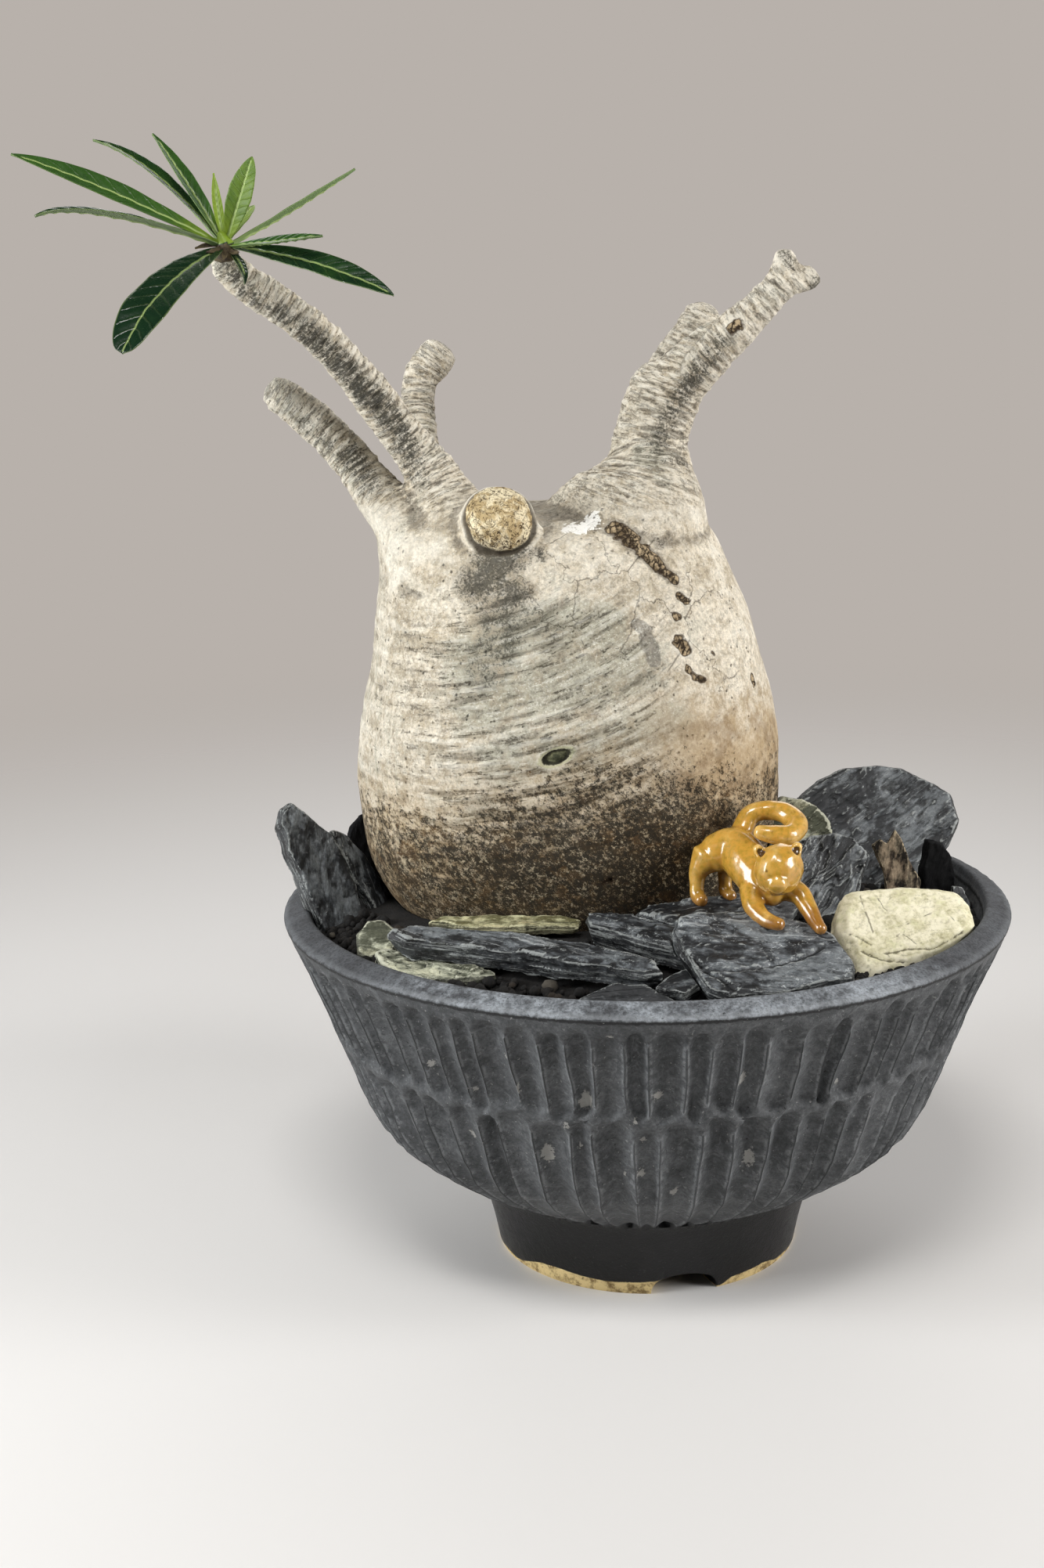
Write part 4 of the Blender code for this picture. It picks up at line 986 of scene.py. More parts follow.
# Triangles between two closed loops of different counts, walked round together.
def bridge(first, second, countA, countB):
    ends = np.concatenate([(np.arange(countA) + 1) / countA, (np.arange(countB) + 1) / countB + 1e-9])
    onFirst = np.argsort(ends, kind="stable") < countA
    i = np.cumsum(onFirst) - onFirst
    j = np.cumsum(~onFirst) - ~onFirst
    far = np.where(onFirst, first + (i + 1) % countA, second + (j + 1) % countB)
    return np.stack([first + i % countA, far, second + j % countB], axis=-1)


def turnFrom(bearings, angle):         # degrees between two bearings, from -180 to 180
    return (bearings - angle + 180) % 360 - 180


# The rim's edge, which is the last six rows inside and the first three outside, goes up and
# down by noise, and its inner slope by slower noise.
def roughenRim(loops, walls, bearing):
    rag = noise(onCircle(bearing, 0, 26), 23) * pot["ragged"]
    rag = rag + noise(onCircle(bearing, 0, 90), 24) * pot["ragged"] * 0.5
    edge = np.array([0.2, 0.5, 0.9, 1.0, 1.0, 1.0, 1.0, 0.8, 0.4])[:, None]
    loops[walls - 6:walls + 3, :, 2] += edge * rag
    wave = noise(onCircle(bearing, 0, 1.6), 25) * 0.3
    loops[8:walls, :, 2] += np.minimum(wave, 0) * np.linspace(0, 1, walls - 8)[:, None]


# The foot: its edge, rows 6 to 17, rises over each drain notch as an arch, and throwing rings
# show by noise on the rows down its outside.
def footLoops(bearing):
    loops = roundLoops(footRows, bearing)
    for angle in notchAngles:
        across = np.radians(turnFrom(np.degrees(bearing), angle)) * pot["footRadius"]
        arch = pot["notchHeight"] * np.maximum(1 - (across / pot["notchHalf"]) ** 2, 0) ** 0.4
        loops[6:18, :, 2] = np.maximum(loops[6:18, :, 2], arch)
    thrown = noise(np.column_stack([loops[:8, 0, 2] * 0.7, np.zeros(8), np.zeros(8)]), 26) * 0.12
    loops[:8, :, :2] *= 1 + (thrown / 55)[:, None, None]
    return loops


# How far inside a chip each point is, in mm: under 0 outside them all.
def chipField(points, outside):
    chip = np.full(len(points), -6.0)
    bearings = np.degrees(np.arctan2(points[:, 1], points[:, 0]))
    for angle, height, size in chips:
        away = np.abs(points[:, 2] - height) + np.abs(turnFrom(bearings, angle))
        away = np.where(outside, away, 1000)
        middle = points[np.argmin(away)]
        chip = np.maximum(chip, size - np.linalg.norm((points - middle) * (1, 1, 0.6), axis=1))
    return chip


# The pot as loops: up inside, over the rim and down the upper flutes, then, bridged to them,
# the lower flutes and the foot, which is bridged to the first loop at the drain hole.
def makePot(material):
    upper = fluteRound(pot["upperFlutes"], pot["upperSteps"], 3)
    lower = fluteRound(pot["lowerFlutes"], pot["lowerSteps"], 8)
    total = np.linalg.norm(np.diff(wallRows, axis=0), axis=1).sum()
    high, low = wallRows[2], wallRows[4]
    slopeLength = math.hypot(*(high - low)) / (high - low)[1]
    borders = [pot["lip"] + (high[1] - tierEdge(tier[0])) * slopeLength for tier in (upper, lower)]
    inner = roundLoops(insideRows, upper[0])
    flutes, ridge = tierLoops(0, borders[0], pot["upperRows"], upper, 29, *pot["upperArches"])
    upperLoops = np.concatenate([inner, flutes])
    roughenRim(upperLoops, len(inner), upper[0])
    begin = borders[1] + pot["tierGap"]
    flutes, lowerRidge = tierLoops(begin, total, pot["lowerRows"], lower, 34, *pot["lowerArches"])
    lowerLoops = np.concatenate([flutes, footLoops(lower[0])])

    countA, countB = upperLoops.shape[1], lowerLoops.shape[1]
    points = np.vstack([upperLoops.reshape(-1, 3), lowerLoops.reshape(-1, 3)])
    startB = len(upperLoops) * countA
    faces = [
        loopFaces(len(upperLoops), countA), bridge(startB - countA, startB, countA, countB),
        loopFaces(len(lowerLoops), countB) + startB,
        bridge(len(points) - countB, 0, countB, countA),
    ]
    faces = [part[:, ::-1] for part in faces]
    ridges = np.concatenate([np.zeros(len(inner) * countA), ridge.ravel(), lowerRidge.ravel(),
                             np.zeros(len(footRows) * countB)])
    outside = np.arange(len(points)) >= len(inner) * countA
    values = {"ridge": ridges, "chip": chipField(points, outside)}
    return addPiece("pot_wall", points, *cornersOf(faces), material, "pot", ["pot"], values, sharp=60)


# Mottled dark slip, with a painted highlight beside the ridges between flutes and a painted shade line on
# top of them.
def slipLayers(f, b, ridge):
    f.tone = f.blend(f.rise(b.mottle * 0.6 + b.broad * 0.4, 0.36, 0.66), pot["clay"], pot["clayLight"])
    wisp = f.grain(b.p, 4.5, 5, 0.72, 1.2)
    f.coat(f.rise(wisp, 0.54, 0.66) * 0.4, pot["wispLight"])
    f.coat(f.fall(wisp, 0.34, 0.46) * 0.35, pot["wispDark"])
    f.tone = f.dim(f.tone, 0.78 + f.rise(b.fine, 0.36, 0.62) * 0.36)
    line = f.rise(ridge + b.drift * 0.9, 0.66, 0.92)
    # painted highlight beside each ridge
    f.coat(f.rise(ridge, 0.06, 0.5) * f.rise(b.mottle, 0.38, 0.6) * 0.4, pot["ridge"])
    # painted shade: a dark line along each ridge
    f.coat(line * 0.75, pot["ridgeShade"])


# The rim: a painted sheen towards the front, a worn edge that is partly a painted highlight stronger at the
# front, and a dark line under it.
def rimLayers(f, b):
    b.top = f.rise(b.z, 117.9, 119.0)
    front = f.fall(b.y + (b.broad - 0.5) * 40, -98, -78)
    # painted sheen, mostly towards the front
    sheen = f.rise(b.broad * 0.5 + b.mottle * 0.5, 0.34, 0.66) * (0.15 + 0.7 * front)
    rim = f.blend(sheen, pot["rimClay"], pot["sheen"])
    f.coat(b.top, f.dim(rim, 0.6 + f.rise(b.fine, 0.36, 0.58) * 0.55))
    # worn edge, partly a painted highlight that grows towards the front
    worn = f.rise(b.z + b.drift * 1.6, 118.5, 118.9) * f.fall(b.z, 119.3, 120.1)
    f.coat(worn * (0.15 + 0.15 * front), pot["rimWornHighlight"])
    edge = f.rise(b.z + b.drift * 2.6, 116.9, 117.6) * f.fall(b.z + b.drift * 1.4, 118.0, 118.5)
    f.coat(edge * 0.9, pot["edgeLine"])


# The foot's black slip, and its bare lip: high at the left of the front, low past the notch
# and behind.
def footLayers(f, b):
    b.foot = f.fall(b.z + b.drift * 4, 25.5, 29)
    f.coat(b.foot, f.blend(f.rise(b.broad, 0.42, 0.6), pot["foot"], pot["footLight"]))
    drip = f.grain(f.stretched(b.p, (1, 1, 0.1)), 26, 1, 0.4)
    left = f.rise(b.x, -46, -36) * f.fall(b.x, 1, 5)
    right = f.rise(b.x, 21, 26) * f.fall(b.x, 36, 42)
    lip = 0.9 + f.fall(b.y, -12, -2) * (left * 3.8 + right * 2) + f.rise(b.y, 0, 12) * 1.2
    b.bare = f.fall(b.z - lip - (drip - 0.5) * 5 - b.dust * 0.6, 0, 0.4)
    f.coat(b.bare, f.blend(f.rise(b.mottle, 0.34, 0.56), pot["bareDark"], pot["bareClay"]))


# Chips that bare the clay, pale flecks and small dark pits.
def chipLayers(f, b, chip):
    b.torn = f.rise(chip + b.dust * 3.2 + b.drift * 4.5, 0, 0.35)
    f.coat(b.torn * 0.85, f.blend(b.mottle, pot["chipDark"], pot["chip"]))
    fleck = f.rise(f.grain(b.p, 1.3, 3, 0.6), 0.66, 0.70) * (1 - b.top) * (1 - b.foot)
    f.coat(fleck * 0.5, pot["fleck"])
    b.pit = f.fall(f.grain(b.p, 1, 3, 0.6), 0.29, 0.34)
    f.coat(b.pit * 0.75, pot["edgeLine"])


def potFinish():
    f = Finish("pot_slip", Roughness=0.6, Specular_IOR_Level=0.35)
    b = SimpleNamespace(p=f.place())
    b.x, b.y, b.z = f.parts(b.p)
    b.broad, b.mottle = f.grain(b.p, 16, 4, 0.6), f.grain(b.p, 3.2, 5, 0.7)
    b.fine = f.grain(b.p, 0.9, 4, 0.7)
    b.drift, b.dust = b.mottle - 0.5, b.fine - 0.5
    slipLayers(f, b, f.attribute("ridge"))
    rimLayers(f, b)
    footLayers(f, b)
    chipLayers(f, b, f.attribute("chip"))
    rough = 0.66 + b.drift * 0.3 + b.top * 0.10 - b.foot * 0.28 + b.bare * 0.4
    height = b.mottle * 0.6 + b.fine * 0.4 - b.torn * 0.5 - b.pit * 0.3
    return f.done(Roughness=rough, Normal=f.bump(height, 0.45, 0.8))


# Leaves

foliage = {
    "steps": 56,             # points along a leaf
    "across": 19,            # points across its upper face
    "thickness": 0.6,        # mm at the midrib
    "veins": 11,             # side veins on each half
    "quilt": 0.30,           # mm, how far the blade swells between the veins
    "deep": colour(14, 38, 20),
    "green": colour(48, 84, 26),
    "bright": colour(118, 142, 34),
    "rib": colour(158, 178, 110),
    "under": colour(120, 142, 92),
    "dry": colour(88, 76, 52),
    "dryDark": colour(46, 34, 24),
    "freckle": colour(40, 36, 22),
}
# Each leaf: middle and tip of its midrib, full width, where it is widest along its length,
# the way its upper face looks, its fold, the bluntness of its outline, and its tone from
# 0, deep green, to 1, bright green.
leafRows = [
    ((-158.2, -32, 349.4), (-185.1, -42, 360.5), 8.8, 0.52, (0.3, -0.6, 0.75), 0.25, 0.8, 0.42),
    ((-158.7, -42, 343.1), (-177.5, -52, 342.9), 7.5, 0.45, (0.05, -0.12, 1.0), 0.3, 0.8, 0.15),
    ((-148.9, -8, 355.1), (-170, 8, 366.3), 6.2, 0.5, (0.5, -0.45, 0.75), 0.35, 0.8, 0.2),
    ((-138.4, -16, 352.3), (-149.2, -6, 367.1), 6.4, 0.5, (0.7, -0.6, 0.35), 0.35, 0.8, 0.4),
    ((-128.6, -21, 345.3), (-129.7, -18, 354.7), 3.0, 0.45, (0.1, -1.0, 0.1), 0.4, 0.8, 1.0),
    ((-121, -27, 347.4), (-117, -26, 359), 7.9, 0.52, (-0.25, -1.0, 0.2), 0.22, 0.7, 0.72),
    ((-123.4, -10, 340.4), (-120.3, 4, 345.5), 6.0, 0.55, (-0.2, -0.6, 0.8), 0.3, 0.8, 0.85),
    ((-106.8, -10, 344.1), (-88.7, 4, 356), 5.0, 0.5, (-0.5, 0.12, 0.9), 0.3, 0.8, 0.45),
    ((-111, -36, 334.4), (-95.5, -44, 335.9), 5.8, 0.55, (0.0, -0.4, 0.9), 0.25, 0.8, 0.35),
    ((-98.4, -40, 327.9), (-74.8, -52, 318.6), 8.6, 0.55, (0.3, -0.8, 0.6), 0.2, 0.7, 0.12),
    ((-141.4, -52, 321.5), (-151.2, -72, 304.4), 14.6, 0.62, (-0.3, -1.0, 0.4), 0.12, 0.42, 0.0),
    ((-121.4, -29, 327.6), (-119.9, -34, 322.4), 2.8, 0.5, (0.5, -0.8, 0.1), 0.3, 0.8, 0.05),
]
# Dried bits at the foot of the rosette, in the same form; their tone is under 0.
dryRows = [
    ((-131.6, -26.2, 333.5), (-135.2, -27.4, 332.7), 1.6, 0.5, (0.2, -0.8, 0.5), 0.5, 0.9, -1.0),
    ((-129.2, -28.6, 332.0), (-131.3, -31.0, 331.7), 1.5, 0.5, (0.2, -0.8, 0.5), 0.5, 0.9, -1.0),
    ((-123.8, -28.0, 331.4), (-121.9, -30.2, 331.6), 1.6, 0.5, (0.1, -0.8, 0.5), 0.4, 0.9, -1.0),
    ((-126.2, -28.3, 331.0), (-126.5, -30.1, 329.3), 1.8, 0.5, (0.1, -1.0, 0.2), 0.3, 0.9, -1.0),
    ((-128.6, -19.0, 332.0), (-131.0, -16.6, 331.0), 1.8, 0.5, (0.2, 0.8, 0.5), 0.4, 0.9, -1.0),
]
rosette = np.array([-126.6, -23.6, 333.4])


# A blade along a quadratic curve from the rosette to its tip. Its half width is a sine raised
# to the bluntness, its halves fold up along the rib, and it swells between its side veins by
# a sine of the way along less the way out.
def leafLoops(middle, tip, width, widest, upper, fold, power, seed, thickness):
    middle, tip, upper = np.array(middle), np.array(tip), unit(np.array(upper))
    base = rosette + unit(middle - rosette) * 1.2
    handle = 2 * middle - (base + tip) / 2
    t = np.linspace(0, 1, foliage["steps"])[:, None]
    centre = base * (1 - t) ** 2 + handle * 2 * t * (1 - t) + tip * t * t
    ahead = unit((handle - base) * (1 - t) + (tip - handle) * t)
    side = unit(np.cross(ahead, upper))
    normal = np.cross(side, ahead)
    bend = math.log(0.5) / math.log(widest)
    share = np.sin(math.pi * np.minimum(t ** bend, 1)).clip(0) ** power
    half = np.maximum(width / 2 * share, 0.75 - 0.45 * t) * np.where(t > 0.985, 0.6, 1.0)
    s = np.linspace(-1, 1, foliage["across"])[None, :]
    wave = noise(np.hstack([t * 5, t * 0 + seed, t * 0]), 31)[:, None]
    ripple = noise(np.hstack([t * 9, t * 0 + seed, t * 0 + 5]), 32)[:, None]
    margin = half * (1 + 0.035 * ripple * np.sign(s))
    swell = foliage["quilt"] * np.abs(np.sin(math.pi * (t * foliage["veins"] - np.abs(s) * 1.1)))
    rib = 0.28 * np.exp(-(s * half / 0.45) ** 2) * (1 - t)
    lift = fold * np.abs(s) * half + (swell - 0.1) * np.sqrt(np.clip(1 - s * s, 0, 1)) * (half > 1.2)
    lift = lift - rib * 0.8 + 0.07 * half * wave * s ** 2 * np.sign(s) + 0.05 * half * wave
    thick = thickness * (1.15 - 0.7 * np.abs(s))
    top = centre[:, None] + side[:, None] * (s * margin)[..., None] + normal[:, None] * lift[..., None]
    under = top - normal[:, None] * (thick + rib)[..., None]
    loops = np.concatenate([top, under[:, ::-1]], axis=1)
    across = np.concatenate([s + 0 * t, (s + 0 * t)[:, ::-1]], axis=1)
    return loops, np.stack([t + 0 * across, across, across * 0 + half], axis=-1)


# Each leaf and dried bit is a closed solid, round a bud of stacked circles made lumpy. The
# material reads the way along a blade, the way across and its half width, its tone, and its
# face: 1 on top, 0 underneath.
def makeLeaves(material):
    solids, blade, tone, face = [], [], [], []
    for seed, row in enumerate(leafRows + dryRows):
        loops, place = leafLoops(*row[:7], seed, foliage["thickness"] * (1.0 if row[7] >= 0 else 0.7))
        solid = closedLoops(loops)
        solids.append((solid[0], [part[:, ::-1] for part in solid[1]]))
        blade.append(np.vstack([place.reshape(-1, 3), place[0].mean(axis=0), place[-1].mean(axis=0)]))
        tone.append(np.full(len(solid[0]), row[7]))
        upper = np.tile(np.repeat([1.0, 0.0], foliage["across"]), foliage["steps"])
        face.append(np.append(upper, [0.0, 0.0]))
    x, y, z = rosette
    hub = [(x - 1, y - 0.4, z + 3.4, 1.3), (x, y, z, 2.9), (x, y + 0.6, z - 3, 4.2)]
    bud = closedLoops(tubeLoops(hub, 32, 6))
    bumps = noise(bud[0] / 1.6, 33) * 0.35
    solids.append((bud[0] + unit(bud[0] - rosette) * bumps[:, None], bud[1]))
    blade.append(np.tile([0.05, 0.4, 2.0], (len(bud[0]), 1)))
    tone.append(np.where(bud[0][:, 2] > z + 0.5, 0.6, -0.6))
    face.append(np.ones(len(bud[0])))
    points, faces = together(solids)
    values = {"blade": np.vstack(blade), "tone": np.concatenate(tone), "face": np.concatenate(face)}
    return addPiece("leaves", points, *cornersOf(faces), material, "leaf", ["leaf_rosette"], values)


# Leaf: its tone from deep to bright green, paler underneath, with faint side veins, a pale
# rib and margin, and brown where it has dried.
def leafFinish():
    f = Finish("leaf", Roughness=0.35, Specular_IOR_Level=0.42)
    p = f.place()
    along, across, half = f.parts(f.attribute("blade", "Vector"))
    tone, face = f.attribute("tone"), f.attribute("face")
    mottle = f.grain(p, 2.2, 5, 0.6)
    broad = f.grain(p, 9, 3, 0.5)
    out = abs(across)
    shade = tone + (mottle - 0.5) * 0.25 + (broad - 0.5) * 0.3
    near = f.fall(along, 0.0, 0.38) * 0.4
    lit = f.rise(shade + near * f.rise(tone, 0.0, 0.4), 0.0, 0.55)
    f.tone = f.blend(lit, foliage["deep"], foliage["green"])
    f.coat(f.rise(shade + near, 0.45, 1.05), foliage["bright"])
    f.coat(1 - face, f.blend(0.55, f.tone, foliage["under"]))
    sway = (f.grain(p, 3.5, 2) - 0.5) * 0.35
    phase = along * foliage["veins"] - out * 1.1 + sway
    cycle = f.node("Math", {0: phase, 1: 1.0}, operation="FRACT")
    vein = f.fall(0.5 - abs(cycle - 0.5), 0.0, 0.13)
    wide = f.rise(half, 1.6, 3.4)
    f.coat(vein * wide * (1 - out) * 0.06, foliage["rib"])
    ribWidth = 0.30 - along * 0.2
    rib = f.fall(out * half, ribWidth, ribWidth + 0.3)
    ribShare = f.rise(half, 0.9, 1.3) * (0.6 + 0.25 * f.rise(tone, 0.0, 0.4))
    f.coat(rib * ribShare, foliage["rib"])
    f.coat(f.rise(out, 0.93, 1.0) * 0.22, foliage["rib"])
    dry = f.fall(tone, -0.3, -0.1)
    f.coat(dry, f.blend(f.rise(mottle, 0.35, 0.6), foliage["dryDark"], foliage["dry"]))
    freckle = f.rise(f.grain(p, 1.0, 3, 0.6), 0.68, 0.74)
    f.coat(freckle * 0.35, foliage["freckle"])
    rough = 0.28 + (mottle - 0.5) * 0.2 + f.rise(tone, 0.2, 0.7) * 0.25 + dry * 0.4 + (1 - face) * 0.2
    height = mottle * 0.4 - vein * wide * 0.6 + rib * 0.3
    return f.done(Roughness=rough, Normal=f.bump(height, 0.3, 0.8))


# Slates and stones

slab = {
    "layer": 1.5,            # mm, thickness of a slate's layers where its edge shows them
    "layerReach": 0.65,      # mm, how far layers stand in front of each other
    "flake": 0.5,            # mm, height of the steps where flakes have split off a face
    "chip": 0.7,             # mm, how much is lost from the sharp edges
    "grainTurn": 37.0,       # mm, how far apart the slates lie in their noise
    "black": colour(13, 14, 16),
    "worn": colour(240, 238, 225),
}
# Long splits in a slate: their paths, and how wide and deep they are in mm.
splits = {
    "slate_front_big": [
        ([(9.5, -90.5, 127.2), (12.7, -93.6, 125.2), (21.4, -93.5, 124.3), (34.5, -89.3, 125.0),
          (43.5, -85.5, 126.0), (52, -79, 127.5)], 0.7, 1.3),
        ([(11.1, -93.2, 125.6), (17.6, -97.3, 122.8), (20.7, -100.3, 120.8)], 0.6, 1.1),
        ([(6.3, -87.0, 127.3), (14.1, -84.3, 129.9), (24.6, -84.6, 128.6)], 0.5, 0.5),
    ],
    "stone_pale": [
        ([(63.0, -64.7, 120.1), (68.4, -66.0, 117.9), (75.7, -65.2, 116.3)], 0.6, 1.0),
        ([(70, -64, 119.0), (78, -61.5, 119.6), (86.2, -59.9, 118.9), (96.0, -52.8, 121.5)], 0.5, 0.7),
        ([(60, -60, 124.0), (66, -62.5, 121.5)], 0.5, 0.5),
    ],
}
# Each slate or stone: finish, bearing and lean of its upper face and turn of its grain in degrees, share of
# flakes, tone from -1 to 1, silver streaks that are partly a painted highlight, and fineness in mm.
slabRows = {
    "slate_front_big": ("slate", -78, 28, -12, 0.8, 0.7, 0.6, 0.55),
    "slate_cat_rear": ("slate", -80, 8, 10, 1.0, -0.3, 0.5, 0.62),
    "slate_left_tall": ("slate", -58, 66, 80, 0.5, 0.3, 0.1, 0.55),
    "slate_front_long": ("slate", -100, 12, -16, 0.8, 0.3, 0.75, 0.5),
    "slate_left_second": ("slate", -35, 62, 80, 0.6, 0.0, 0.7, 0.55),
    "slate_mid_block": ("slate", -95, 12, -20, 0.9, 0.1, 0.6, 0.5),
    "slate_chip_front": ("slate", -80, 20, 20, 0.5, -0.6, 0.4, 0.5),
    "slate_chip_thin": ("slate", -90, 55, 5, 0.4, -1.0, 0.1, 0.5),
    "slate_right_mid": ("slate", -95, 55, 60, 1.3, 0.6, 1.0, 0.5),
    "slate_right_thin": ("slate", -60, 80, 80, 0.3, 0.0, 0.4, 0.5),
    "slate_back_large": ("slate", -88, 62, 35, 0.7, -0.1, 0.5, 0.65),
    "slate_rear_right": ("slate", 65, 22, 10, 1.0, 0.1, 0.5, 0.75),
    "slate_rear_middle": ("slate", 98, 18, -20, 1.0, 0.0, 0.4, 0.75),
    "slate_rear_left": ("slate", 140, 24, 30, 1.0, 0.2, 0.5, 0.75),
    "slate_rear_lean": ("slate", 84, 58, 60, 1.0, -0.1, 0.5, 0.75),
    "slate_green_flat": ("green", -95, 12, -15, 1.2, 0.5, 0.0, 0.5),
    "slate_back_round": ("green", -90, 60, 30, 0.8, -0.7, 0.3, 0.6),
    "stone_green": ("green", -90, 45, 0, 0.4, 0.1, 0.0, 0.45),
    "slate_yellow": ("olive", -100, 10, 2, 0.5, 0.3, 0.3, 0.45),
    "stone_pale": ("cream", -75, 40, 10, 0.25, 0.0, 0.0, 0.55),
    "bark_chip": ("chipwood", -85, 70, 80, 0.6, 0.0, 0.0, 0.45),
    "charcoal": ("coal", -80, 80, 70, 0.9, 0.0, 0.0, 0.5),
    "slate_left_dark": ("coal", -60, 75, 70, 0.9, 0.3, 0.2, 0.6),
}


# A copy of a CAD node's mesh with its doubled points merged.
def mergedCopy(name):
    mesh = nodes[name].data.copy()
    bm = bmesh.new()
    bm.from_mesh(mesh)
    bmesh.ops.remove_doubles(bm, verts=bm.verts, dist=1e-6)
    bm.to_mesh(mesh)
    bm.free()
    return mesh


# Steps where flakes have split off: noise is cut into levels, and each level's edge is a
# steep ramp between them.
def steps(value, width):
    floor = np.floor(value)
    return floor + ramp(value - floor, 0, width)


# A slate from its CAD solid's skin, which moves out along its normals: steps of flakes on the
# broad faces, layers by noise on the edges, fine grain, worn edges lost, and splits as grooves
# with a bell-shaped section.
def makeSlab(number, name, material, slot, row):
    bearing, lean, turn, flakes, tone, streaks, voxel = row
    points, corners, sizes = voxelSkin(mergedCopy(name), voxel, 2)
    normals = normalsOf(name + "_skin", points, corners, sizes)
    a, t, g = (math.radians(angle) for angle in (bearing, lean, turn))
    up = np.array([math.sin(t) * math.cos(a), math.sin(t) * math.sin(a), math.cos(t)])
    level = np.array([-math.sin(a), math.cos(a), 0.0])
    slope = np.cross(up, level)
    grain = level * math.cos(g) + slope * math.sin(g)
    middle = points.mean(axis=0)
    place = (points - middle) @ np.stack([grain, np.cross(up, grain), up], axis=1)
    along, across, depth = place.T
    place = place + number * slab["grainTurn"]
    facing = ramp(np.abs(normals @ up), 0.55, 0.85)
    wear = standing(points, corners, sizes, normals, 8)
    seed = 60 + number * 7

    field = noise(place / (13, 8, 40), seed) + 0.45 * noise(place / (5, 3, 15), seed + 1)
    flat = slab["flake"] * flakes * (steps(field * 2.6, 0.3) - 0.3)
    # painted shading: each flake level lighter or darker by a number of its own
    flakeShading = np.sin(np.floor(field * 2.6) * 2.4 + number)
    flat = flat + 0.10 * flakes * (steps(noise(place / (7, 3, 12), seed + 6) * 4, 0.35))
    layer = np.floor(depth / slab["layer"] + 0.5 * noise(place / 14, seed + 2))
    stand = noise(np.column_stack([layer * 5.3 + 0.5, along / 7, across / 7]), seed + 3)
    fine = roughness(place / (3.2, 1.8, 1.8), 3, seed + 4)
    loose = ramp(noise(place / 3.2, seed + 5), -0.1, 0.45) * ramp(wear, 0.12, 0.5)
    move = facing * flat + (1 - facing) * slab["layerReach"] * flakes * stand
    move += 0.13 * fine - slab["chip"] * loose * min(flakes + 0.2, 1.0)
    for path, wide, deep in splits.get(name, ()):
        away = lineDistance(points, path) + 0.5 * noise(points / 2.2, seed + 8)
        move -= deep * np.exp(-(away / wide) ** 2)
    points = points + normals * move[:, None]
    wear = standing(points, corners, sizes, normalsOf(name + "_worn", points, corners, sizes), 3)
    kind = np.column_stack([tone + 0 * flakeShading, streaks + 0 * flakeShading, flakeShading])
    values = {"slab": place, "wear": wear, "facing": facing, "kind": kind}
    return addPiece(name + "_worn", points, corners, sizes, material, slot, [name], values, sharp=75)


